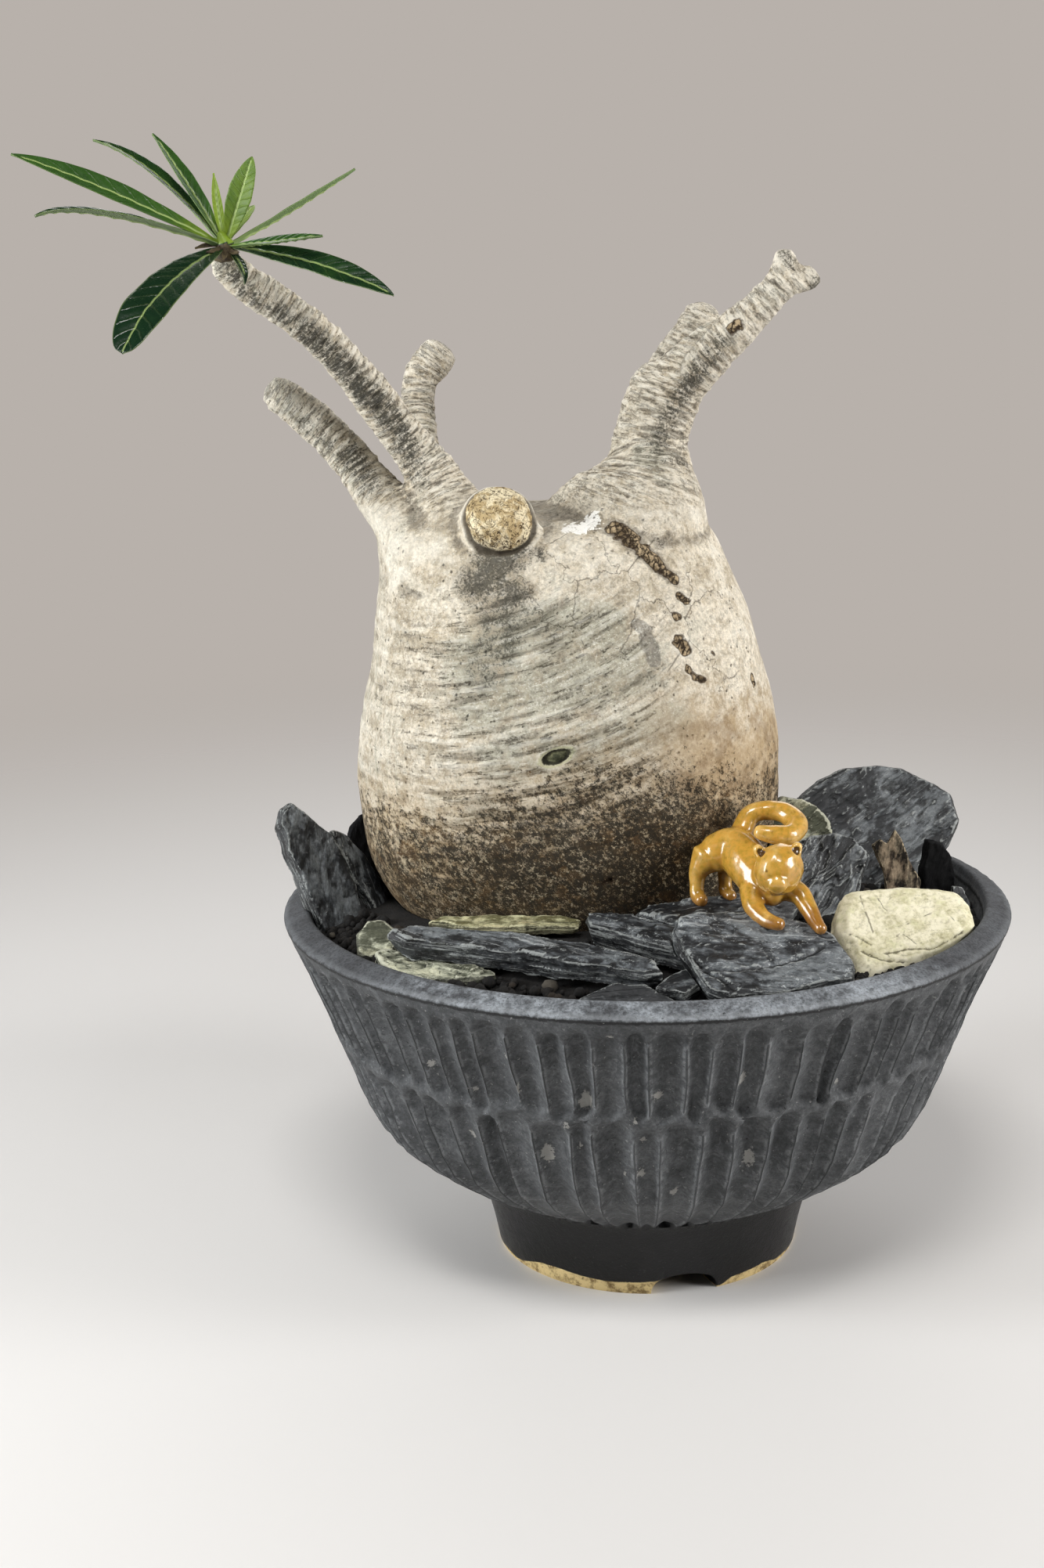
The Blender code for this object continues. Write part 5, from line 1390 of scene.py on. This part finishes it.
# Split slate: each flake lighter or darker as painted shading, over a dark mottled base; dark seams and
# silvery streaks along the grain, the streaks partly a painted highlight; light worn edges; thin light and
# dark lines where layers show; and painted shade in nooks.
def slateFinish(name, rough, patchShare, dark, light, silverAndGlint, patch, edge):
    f = Finish(name, Roughness=rough, Specular_IOR_Level=0.75 - 0.7 * rough)
    p = f.attribute("slab", "Vector")
    wear, facing = f.attribute("wear"), f.attribute("facing")
    tone, streaks, flakeShading = f.parts(f.attribute("kind", "Vector"))
    broad = f.grain(f.stretched(p, (0.6, 1, 1)), 9, 4, 0.65)
    mottle = f.grain(f.stretched(p, (0.4, 0.8, 1)), 2.4, 5, 0.7)
    fine = f.grain(f.stretched(p, (0.6, 1, 1)), 0.7, 4, 0.8)
    # the base is shifted for each flake level as painted shading
    base = f.rise(mottle * 0.4 + broad * 0.6 + tone * 0.05 + flakeShading * 0.035, 0.45, 0.62)
    f.tone = f.blend(base, dark, light)
    f.coat(f.rise(broad + (mottle - 0.5) * 0.4, 0.5, 0.6) * patchShare, patch)
    f.tone = f.dim(f.tone, 0.72 + f.rise(fine, 0.36, 0.62) * 0.45)
    silk = f.grain(f.stretched(p, (0.04, 0.6, 0.6)), 1.0, 5, 0.65)
    gate = f.rise(f.grain(f.stretched(p, (0.3, 1, 1)), 7, 3, 0.6) + tone * 0.05, 0.46, 0.58)
    seam = f.fall(silk + (fine - 0.5) * 0.06, 0.37, 0.43)
    f.coat(seam * (0.25 + 0.6 * streaks), slab["black"])
    # silver streaks and specks along the grain, partly a painted highlight
    streak = f.rise(silk + (fine - 0.5) * 0.2, 0.56, 0.64) * gate * streaks
    speck = f.rise(fine + (mottle - 0.5) * 0.3 + tone * 0.02, 0.63, 0.70)
    f.coat((streak * 0.5).highest(speck * gate * 0.45), silverAndGlint)
    # silver scratches on the broad faces, partly a painted highlight
    scratch = abs(f.grain(f.stretched(p, (0.5, 1, 1)), 7, 3, 0.6, 0.8) - 0.5) * 8
    scratch = f.fall(scratch, 0.03, 0.12) * f.rise(fine, 0.48, 0.58) * f.rise(streaks, 0.55, 0.6)
    f.coat(scratch * gate * facing * 0.6, silverAndGlint)
    layers = f.grain(f.stretched(p, (0.06, 0.06, 1.1)), 1.0, 4, 0.75)
    line = f.rise(layers + (fine - 0.5) * 0.35, 0.51, 0.58)
    f.coat((1 - facing) * 0.65, f.blend(line * 0.8, slab["black"], edge))
    rim = f.rise(wear + (fine - 0.5) * 0.2, 0.06, 0.13)
    f.coat(rim * 0.65, edge)
    # painted shade: near black where the slate lies below its neighbours
    nookShade = f.fall(wear + (fine - 0.5) * 0.1, -0.14, -0.03)
    f.coat(nookShade * 0.85, slab["black"])
    height = mottle * 0.4 + fine * 0.3 + streak * 0.2 - seam * 0.3 + line * (1 - facing) * 0.6
    shine = rough + (0.5 - fine) * 0.3 - streak * 0.1
    return f.done(Roughness=shine, Normal=f.bump(height, 0.5, 0.9))


# Grainy stone: soft blotches of three tones, dark pits and specks, a crack or two, and painted shade in
# hollows.
def stoneFinish(name, rough, dark, light, blotch, crack):
    f = Finish(name, Roughness=rough)
    p, wear = f.attribute("slab", "Vector"), f.attribute("wear")
    broad = f.grain(p, 9, 4, 0.6)
    mottle = f.grain(p, 2.2, 5, 0.7)
    fine = f.grain(p, 0.5, 4, 0.75)
    f.tone = f.blend(f.rise(mottle * 0.5 + broad * 0.5, 0.36, 0.6), dark, light)
    f.coat(f.rise(f.grain(p, 5, 4, 0.65), 0.54, 0.66) * 0.55, blotch)
    cut = f.cells(p + (f.grain(p, 3) - 0.5) * 2, 19, "DISTANCE_TO_EDGE")
    split = f.fall(cut * 19, 0.05, 0.28) * f.rise(broad, 0.50, 0.56)
    f.coat(split * 0.6, crack)
    pit = f.fall(fine, 0.3, 0.4) * f.rise(f.grain(p, 6, 3), 0.42, 0.6)
    f.coat(pit * 0.75, crack)
    # painted shade in hollows, in the crack colour
    f.coat(f.fall(wear + (mottle - 0.5) * 0.2, -0.16, 0.02) * 0.8, crack)
    f.coat(f.rise(wear, 0.03, 0.15) * 0.4, f.blend(0.5, light, slab["worn"]))
    height = mottle * 0.4 + fine * 0.3 - pit * 0.5 - split * 0.6
    return f.done(Roughness=rough, Normal=f.bump(height, 0.45, 0.8))


# Looks: the finish, the material's name and its numbers, the slot, and its colours.
slabLooks = {
    "slate": (slateFinish, ("slate", 0.5, 0.12), "slate",
              [(26, 28, 31), (112, 117, 121), (204, 208, 208), (84, 86, 76), (160, 164, 162)]),
    "green": (slateFinish, ("green_slate", 0.75, 0.3), "green_stone",
              [(78, 80, 66), (198, 200, 178), (222, 222, 206), (170, 164, 130), (206, 206, 186)]),
    "olive": (slateFinish, ("olive_slate", 0.7, 0.3), "olive_slate",
              [(92, 88, 58), (206, 204, 164), (230, 228, 194), (150, 124, 84), (218, 214, 176)]),
    "cream": (stoneFinish, ("cream_stone", 0.85), "cream_stone",
              [(196, 190, 152), (236, 230, 204), (214, 212, 170), (70, 64, 44)]),
    "chipwood": (slateFinish, ("bark_chip", 0.85, 0.25), "bark_chip",
                 [(30, 26, 22), (136, 124, 104), (204, 190, 162), (132, 108, 90), (190, 174, 146)]),
    "coal": (slateFinish, ("charcoal", 0.85, 0.2), "charcoal",
             [(4, 4, 5), (14, 14, 15), (44, 44, 46), (12, 11, 11), (26, 26, 28)]),
}


def makeSlabs():
    looks = {}
    for look, (finish, settings, slot, shades) in slabLooks.items():
        looks[look] = (finish(*settings, *(colour(*shade) for shade in shades)), slot)
    for number, (name, row) in enumerate(slabRows.items()):
        makeSlab(number, name, *looks[row[0]], row[1:])


# Soil

soil = {
    "granules": 2500,
    "small": 0.75,           # mm, half size
    "large": 2.1,
    "dark": colour(9, 8, 8),
    "brown": colour(30, 26, 22),
    "rusty": colour(56, 46, 36),
    "light": colour(96, 90, 80),
    "reach": 111,            # mm, how far from the axis granules lie
    "bare": 0.16,            # share of that disc's area in its middle, under the stem
}


# A search tree over the faces of some CAD nodes.
def treeOf(names):
    points, faces = [], []
    for name in names:
        some, corners, sizes = readMesh(nodes[name].data)
        starts = np.concatenate([[0], np.cumsum(sizes)[:-1]])
        start = sum(len(part) for part in points)
        faces += [(corners[k:k + n] + start).tolist() for k, n in zip(starts, sizes)]
        points.append(some)
    return BVHTree.FromPolygons(np.vstack(points).tolist(), faces)


# A cube's 26 surface points at steps of 1, pushed out to a sphere, and its 24 quads.
def granuleShape():
    spots = [spot for spot in np.ndindex(3, 3, 3) if spot != (1, 1, 1)]
    number = {spot: k for k, spot in enumerate(spots)}
    faces = []
    for axis in range(3):
        for side in (0, 2):
            for u in (0, 1):
                for v in (0, 1):
                    face = []
                    for du, dv in ((0, 0), (1, 0), (1, 1), (0, 1)):
                        spot = [u + du, v + dv]
                        spot.insert(axis, side)
                        face.append(number[tuple(spot)])
                    forward = (side == 2) == (axis != 1)
                    faces.append(face if forward else face[::-1])
    return unit(np.array(spots) - 1.0), np.array(faces)


# Granules lie where a line straight down meets the soil before anything else. Each is a
# sphere that noise makes lumpy, stretched by its three sizes and turned at random.
def makeGranules(material):
    draw = np.random.default_rng(41)
    top = treeOf([name for name in nodes if name not in ("soil", "leaf_rosette", "cat", "drain_mesh")])
    ground = treeOf(["soil"])
    middles = []
    while len(middles) < soil["granules"]:
        away = soil["reach"] * math.sqrt(draw.uniform(soil["bare"], 1.0))
        turn = draw.uniform(0, 2 * math.pi)
        spot = Vector((away * math.cos(turn), away * math.sin(turn), 200))
        hit, over = (tree.ray_cast(spot, Vector((0, 0, -1)))[0] for tree in (ground, top))
        if hit and (over is None or over.z < hit.z):
            middles.append(tuple(hit))
    shape, faces = granuleShape()
    count = len(middles)
    size = soil["small"] + (soil["large"] - soil["small"]) * draw.uniform(0, 1, count) ** 3
    middles = np.array(middles) + np.outer(size, (0, 0, 0.25))
    middles[:, 2] += draw.uniform(0, 1.2, count)
    spread = draw.uniform(0.75, 1.25, (count, 1, 3))
    turns, _ = np.linalg.qr(draw.normal(size=(count, 3, 3)))
    lumps = shape[None] + np.arange(count)[:, None, None] * 3.7
    lumpy = 1 + 0.3 * noise(lumps.reshape(-1, 3), 42).reshape(count, -1)[..., None]
    points = (shape[None] * lumpy * spread * size[:, None, None]) @ turns
    flip = np.linalg.det(turns) < 0
    points[flip] *= -1
    faces = (faces[None] + np.arange(count)[:, None, None] * len(shape)).reshape(count, -1, 4)
    points = (points + middles[:, None]).reshape(-1, 3)
    grit = np.repeat(draw.uniform(0, 1, count), len(shape))
    return addPiece("soil_granules", points, *cornersOf([faces.reshape(-1, 4)]), material, "soil",
                    values={"grit": grit})


# Dark soil in two sizes of noise, with some rusty granules and a few light ones.
def soilFinish(name, onGranules):
    f = Finish(name, Roughness=0.95)
    p = f.place()
    fine = f.grain(p, 0.7, 5, 0.75)
    mottle = f.grain(p, 2.6, 4, 0.7)
    shade = f.rise(mottle * 0.6 + fine * 0.4, 0.42, 0.66)
    f.tone = f.blend(shade, soil["dark"], soil["brown"])
    if onGranules:
        grit = f.attribute("grit")
        f.coat(f.rise(grit, 0.985, 0.99) * 0.6, soil["light"])
        f.coat(f.rise(grit, 0.5, 0.55) * f.fall(grit, 0.6, 0.65) * 0.5, soil["rusty"])
    height = fine * 0.5 + mottle * 0.5
    return f.done(Roughness=0.9 + fine * 0.1, Normal=f.bump(height, 0.8, 1.0))


# Cat

cat = {
    "voxel": 0.45,
    "smoothing": 9,
    "glaze": colour(192, 143, 56),
    "pale": colour(222, 182, 104),
    "olive": colour(156, 126, 40),
    "deep": colour(124, 72, 22),
    "dark": colour(44, 28, 16),
}
catRows = {
    "body": [(18.6, -49, 147.2, 6), (25, -50, 149.4, 6.8), (28.8, -56, 146.2, 7.2),
             (32.7, -62, 142.4, 6.8), (36, -66, 140.2, 5.4)],
    "hindLeft": [(14.8, -54.4, 134, 2.1), (13.6, -51.7, 134.8, 2.4), (13.5, -50.6, 138, 2.3),
                 (13.9, -49.8, 142, 3.1), (17, -49, 146.4, 5.6)],
    "hindRight": [(24.2, -50.6, 134, 2.0), (22.8, -48, 134.8, 2.3), (22.6, -46.8, 138, 2.2),
                  (22.8, -46, 142, 3.0), (23, -47, 146.4, 5.4)],
    "foreLeft": [(36.2, -78.6, 133.4, 2.0), (33.2, -76.2, 133.8, 2.4), (30.6, -72.8, 134.8, 2.8),
                 (29, -69, 137, 3.4), (29.6, -64, 140.5, 4.4)],
    "foreRight": [(48.6, -78, 131.4, 1.9), (47.2, -74.6, 132.8, 2.3), (45.6, -70.4, 135.8, 2.8),
                  (43, -66, 139.4, 3.5), (38, -64, 141, 4.4)],
    "neck": [(33.5, -64, 144, 5.4), (36, -69, 146.8, 6)],
    "head": [(35.4, -71, 148.9, 8.0), (37.2, -73, 148.5, 8.1)],
    "muzzle": [(35.6, -73, 147.2, 5), (35, -78.6, 145.8, 3.2)],
    "earLeft": [(29.8, -70.6, 155.2, 1.5), (31.8, -71.2, 152.4, 2.5)],
    "earRight": [(42.2, -70.8, 155.8, 1.5), (40.6, -71.4, 153, 2.5)],
    "tail": [(27, -47, 151, 4.2), (29, -45, 156, 3.4), (31, -44, 158.7, 3.2),
             (35.5, -43.5, 159.7, 3.1), (41.1, -45.5, 159.3, 3.3), (44.4, -50.5, 156.8, 3.5),
             (41.2, -56, 155, 3.3), (35.5, -57.6, 155.8, 2.9), (31.6, -57, 156.4, 2.2)],
}
# Dabs on the glaze: middle, reach in mm and how dark.
dabs = [
    ((35.0, -82.2, 147.2), 1.5, 1.0), ((30.6, -73.2, 154.6), 1.6, 0.9), ((41.6, -73.4, 155.0), 1.6, 0.9),
    ((31.8, -79.0, 150.2), 0.9, 0.6), ((38.8, -79.4, 150.2), 0.9, 0.6),
]


# The cat: tapered tubes under one skin, slightly uneven, and its ears dented at their dabs.
def makeCat(material):
    points, faces = together([closedLoops(tubeLoops(rows, 24)) for rows in catRows.values()])
    skin = voxelSkin(meshOf("cat_skin", points, *cornersOf(faces)), cat["voxel"], cat["smoothing"])
    points, corners, sizes = skin
    normals = normalsOf("cat_smooth", points, corners, sizes)
    dab = np.zeros(len(points))
    for middle, reach, strength in dabs:
        away = np.linalg.norm(points - np.array(middle), axis=1)
        dab = np.maximum(dab, strength * (1 - ramp(away, reach * 0.5, reach * 1.3)))
    dent = 0.5 * ramp(dab, 0.1, 0.8) * (points[:, 2] > 152)
    points = points + normals * (0.10 * roughness(points / 4, 2, 51) - dent)[:, None]
    values = {"dab": dab, "wear": standing(points, corners, sizes, normals, 12)}
    return addPiece("cat_glazed", points, corners, sizes, material, "cat", ["cat"], values)


# Glaze: olive mottling, pale where the form stands out, deep where it pools and low on the
# legs, and dark dabs.
def catFinish():
    f = Finish("cat_glaze", Roughness=0.2, Coat_Weight=0.6, Coat_Roughness=0.08)
    p = f.place()
    dab, wear = f.attribute("dab"), f.attribute("wear")
    _, _, z = f.parts(p)
    broad = f.grain(p, 6, 4, 0.6)
    mottle = f.grain(p, 1.6, 4, 0.6)
    f.tone = f.blend(f.rise(mottle, 0.4, 0.62) * 0.7, cat["glaze"], cat["olive"])
    f.coat(f.rise(wear + (broad - 0.5) * 0.6, 0.0, 0.3) * 0.8, cat["pale"])
    low = f.fall(z + (broad - 0.5) * 8, 133.5, 138.5)
    pooled = f.fall(wear + (mottle - 0.5) * 0.2, -0.25, 0.05).highest(low)
    f.coat(pooled * 0.75, cat["deep"])
    f.coat(f.rise(mottle, 0.6, 0.7) * 0.4, cat["deep"])
    f.coat(f.rise(dab + (mottle - 0.5) * 0.3, 0.3, 0.6) * 0.85, cat["dark"])
    return f.done(Roughness=0.18 + mottle * 0.12, Normal=f.bump(mottle, 0.15, 0.4))


# Drain mesh

drain = {"dark": colour(16, 16, 17), "light": colour(34, 34, 36)}


def drainFinish():
    f = Finish("drain_plastic", Roughness=0.5)
    mottle = f.grain(f.place(), 1.2, 5, 0.7)
    f.tone = f.blend(f.rise(mottle, 0.35, 0.65), drain["dark"], drain["light"])
    return f.done(Roughness=0.4 + mottle * 0.2, Normal=f.bump(mottle, 0.1, 0.8))


# Stage

view = {
    "place": (-40.2, -717.6, 334.3),     # mm from the middle of the pot's foot
    "down": 13.73,                       # degrees
    "roll": -1.08,
    "lens": 51.4,                        # mm
    "sensor": 36,
    "farthest": 50,                      # m
    "backdrop": colour(184, 177, 171),
    "dark": colour(56, 55, 54),          # overhead and in front
    "skyEdge": 0.3,                      # where it grows dark, as the upward part of a way out
    "skyTop": 0.75,
    "frontEdge": 0.1,                    # and as the backward part
    "frontEnd": -0.7,
    "floor": colour(212, 210, 208),
    "floorRadius": 3000,                 # mm
    "floorFade": (330, 1100),            # mm from the axis
}
# Lights: name, place in mm, the place it looks at, width and height in mm, power, colour.
lampRows = [
    ("left", (-880, -330, 420), (-10, 0, 120), 300, 600, 9.5, (0.97, 0.99, 1.0)),
    ("right", (900, -330, 400), (0, 0, 120), 300, 600, 9.0, (1.0, 0.99, 0.98)),
    ("front", (-120, -760, 1300), (0, 0, 190), 450, 350, 10.0, (1.0, 0.99, 0.97)),
    ("back", (0, 900, 700), (0, 0, 180), 1200, 600, 4.0, (1.0, 1.0, 1.0)),
]


# The camera that was fitted to the pot's rim and foot.
def makeCamera():
    camera = bpy.data.cameras.new("camera")
    camera.lens = view["lens"]
    camera.sensor_width = view["sensor"]
    camera.clip_end = view["farthest"]
    ob = linked("camera", camera)
    down, roll = math.radians(view["down"]), math.radians(view["roll"])
    ahead = Vector((0, math.cos(down), -math.sin(down)))
    flatUp = Vector((0, math.sin(down), math.cos(down)))
    right = Vector((math.cos(roll), 0, 0)) + flatUp * math.sin(roll)
    top = Vector((-math.sin(roll), 0, 0)) + flatUp * math.cos(roll)
    turn = Matrix((right, top, -ahead)).transposed().to_4x4()
    ob.matrix_world = Matrix.Translation(Vector(view["place"]) * mm + Vector(potAxis)) @ turn
    bpy.context.scene.camera = ob


# A round floor that fades into the backdrop's colour with distance.
def makeFloor():
    turn = np.arange(96) * 2 * math.pi / 96
    disc = np.column_stack([np.cos(turn), np.sin(turn), turn * 0]) * view["floorRadius"]
    mesh = meshOf("floor", disc, np.arange(96), np.array([96]))
    f = Finish("floor_plain", view["floor"], Roughness=0.9)
    x, y, _ = f.parts(f.place())
    mesh.materials.append(f.done(Alpha=f.fall((x * x + y * y) ** 0.5, *view["floorFade"])))
    ob = linked("floor", mesh)


# The backdrop's colour at eye level, darker overhead and in front of the object.
def makeWorld():
    world = bpy.data.worlds.new("studio")
    world.use_nodes = True
    w = Maker(world.node_tree)
    _, y, z = w.parts(w.node("TexCoord", out="Generated"))
    above, before = (view["skyEdge"], view["skyTop"]), (view["frontEdge"], view["frontEnd"])
    dark = w.rise(z, *above).highest(w.rise(y, *before))
    w.put(w.tree.nodes["Background"].inputs["Color"], w.blend(dark, view["backdrop"], view["dark"]))
    bpy.context.scene.world = world


def makeLights():
    for name, place, target, wide, tall, power, tint in lampRows:
        lamp = bpy.data.lights.new(name, "AREA")
        lamp.shape = "RECTANGLE"
        lamp.size = wide * mm
        lamp.size_y = tall * mm
        lamp.energy = power
        lamp.color = tint
        aim = (Vector(place) - Vector(target)).to_track_quat("Z", "Y")
        where = Vector(place) * mm + Vector(potAxis)
        linked(name, lamp).matrix_world = Matrix.LocRotScale(where, aim, None)


def refinish(name, material):   # a CAD node that stays in view
    node = nodes[name]
    node.data.materials.clear()
    node.data.materials.append(material)


def main():
    makeStem(barkFinish())
    print("stem made")
    makeLeaves(leafFinish())
    print("leaves made")
    makePot(potFinish())
    print("pot made")
    makeSlabs()
    print("slates and stones made")
    makeGranules(soilFinish("soil_granules", True))
    refinish("soil", soilFinish("soil_bed", False))
    print("soil made")
    makeCat(catFinish())
    refinish("drain_mesh", drainFinish())
    print("cat and drain mesh made")
    makeCamera()
    makeFloor()
    makeLights()
    makeWorld()
    bpy.context.scene.view_settings.view_transform = "Standard"
    print("stage made")


main()
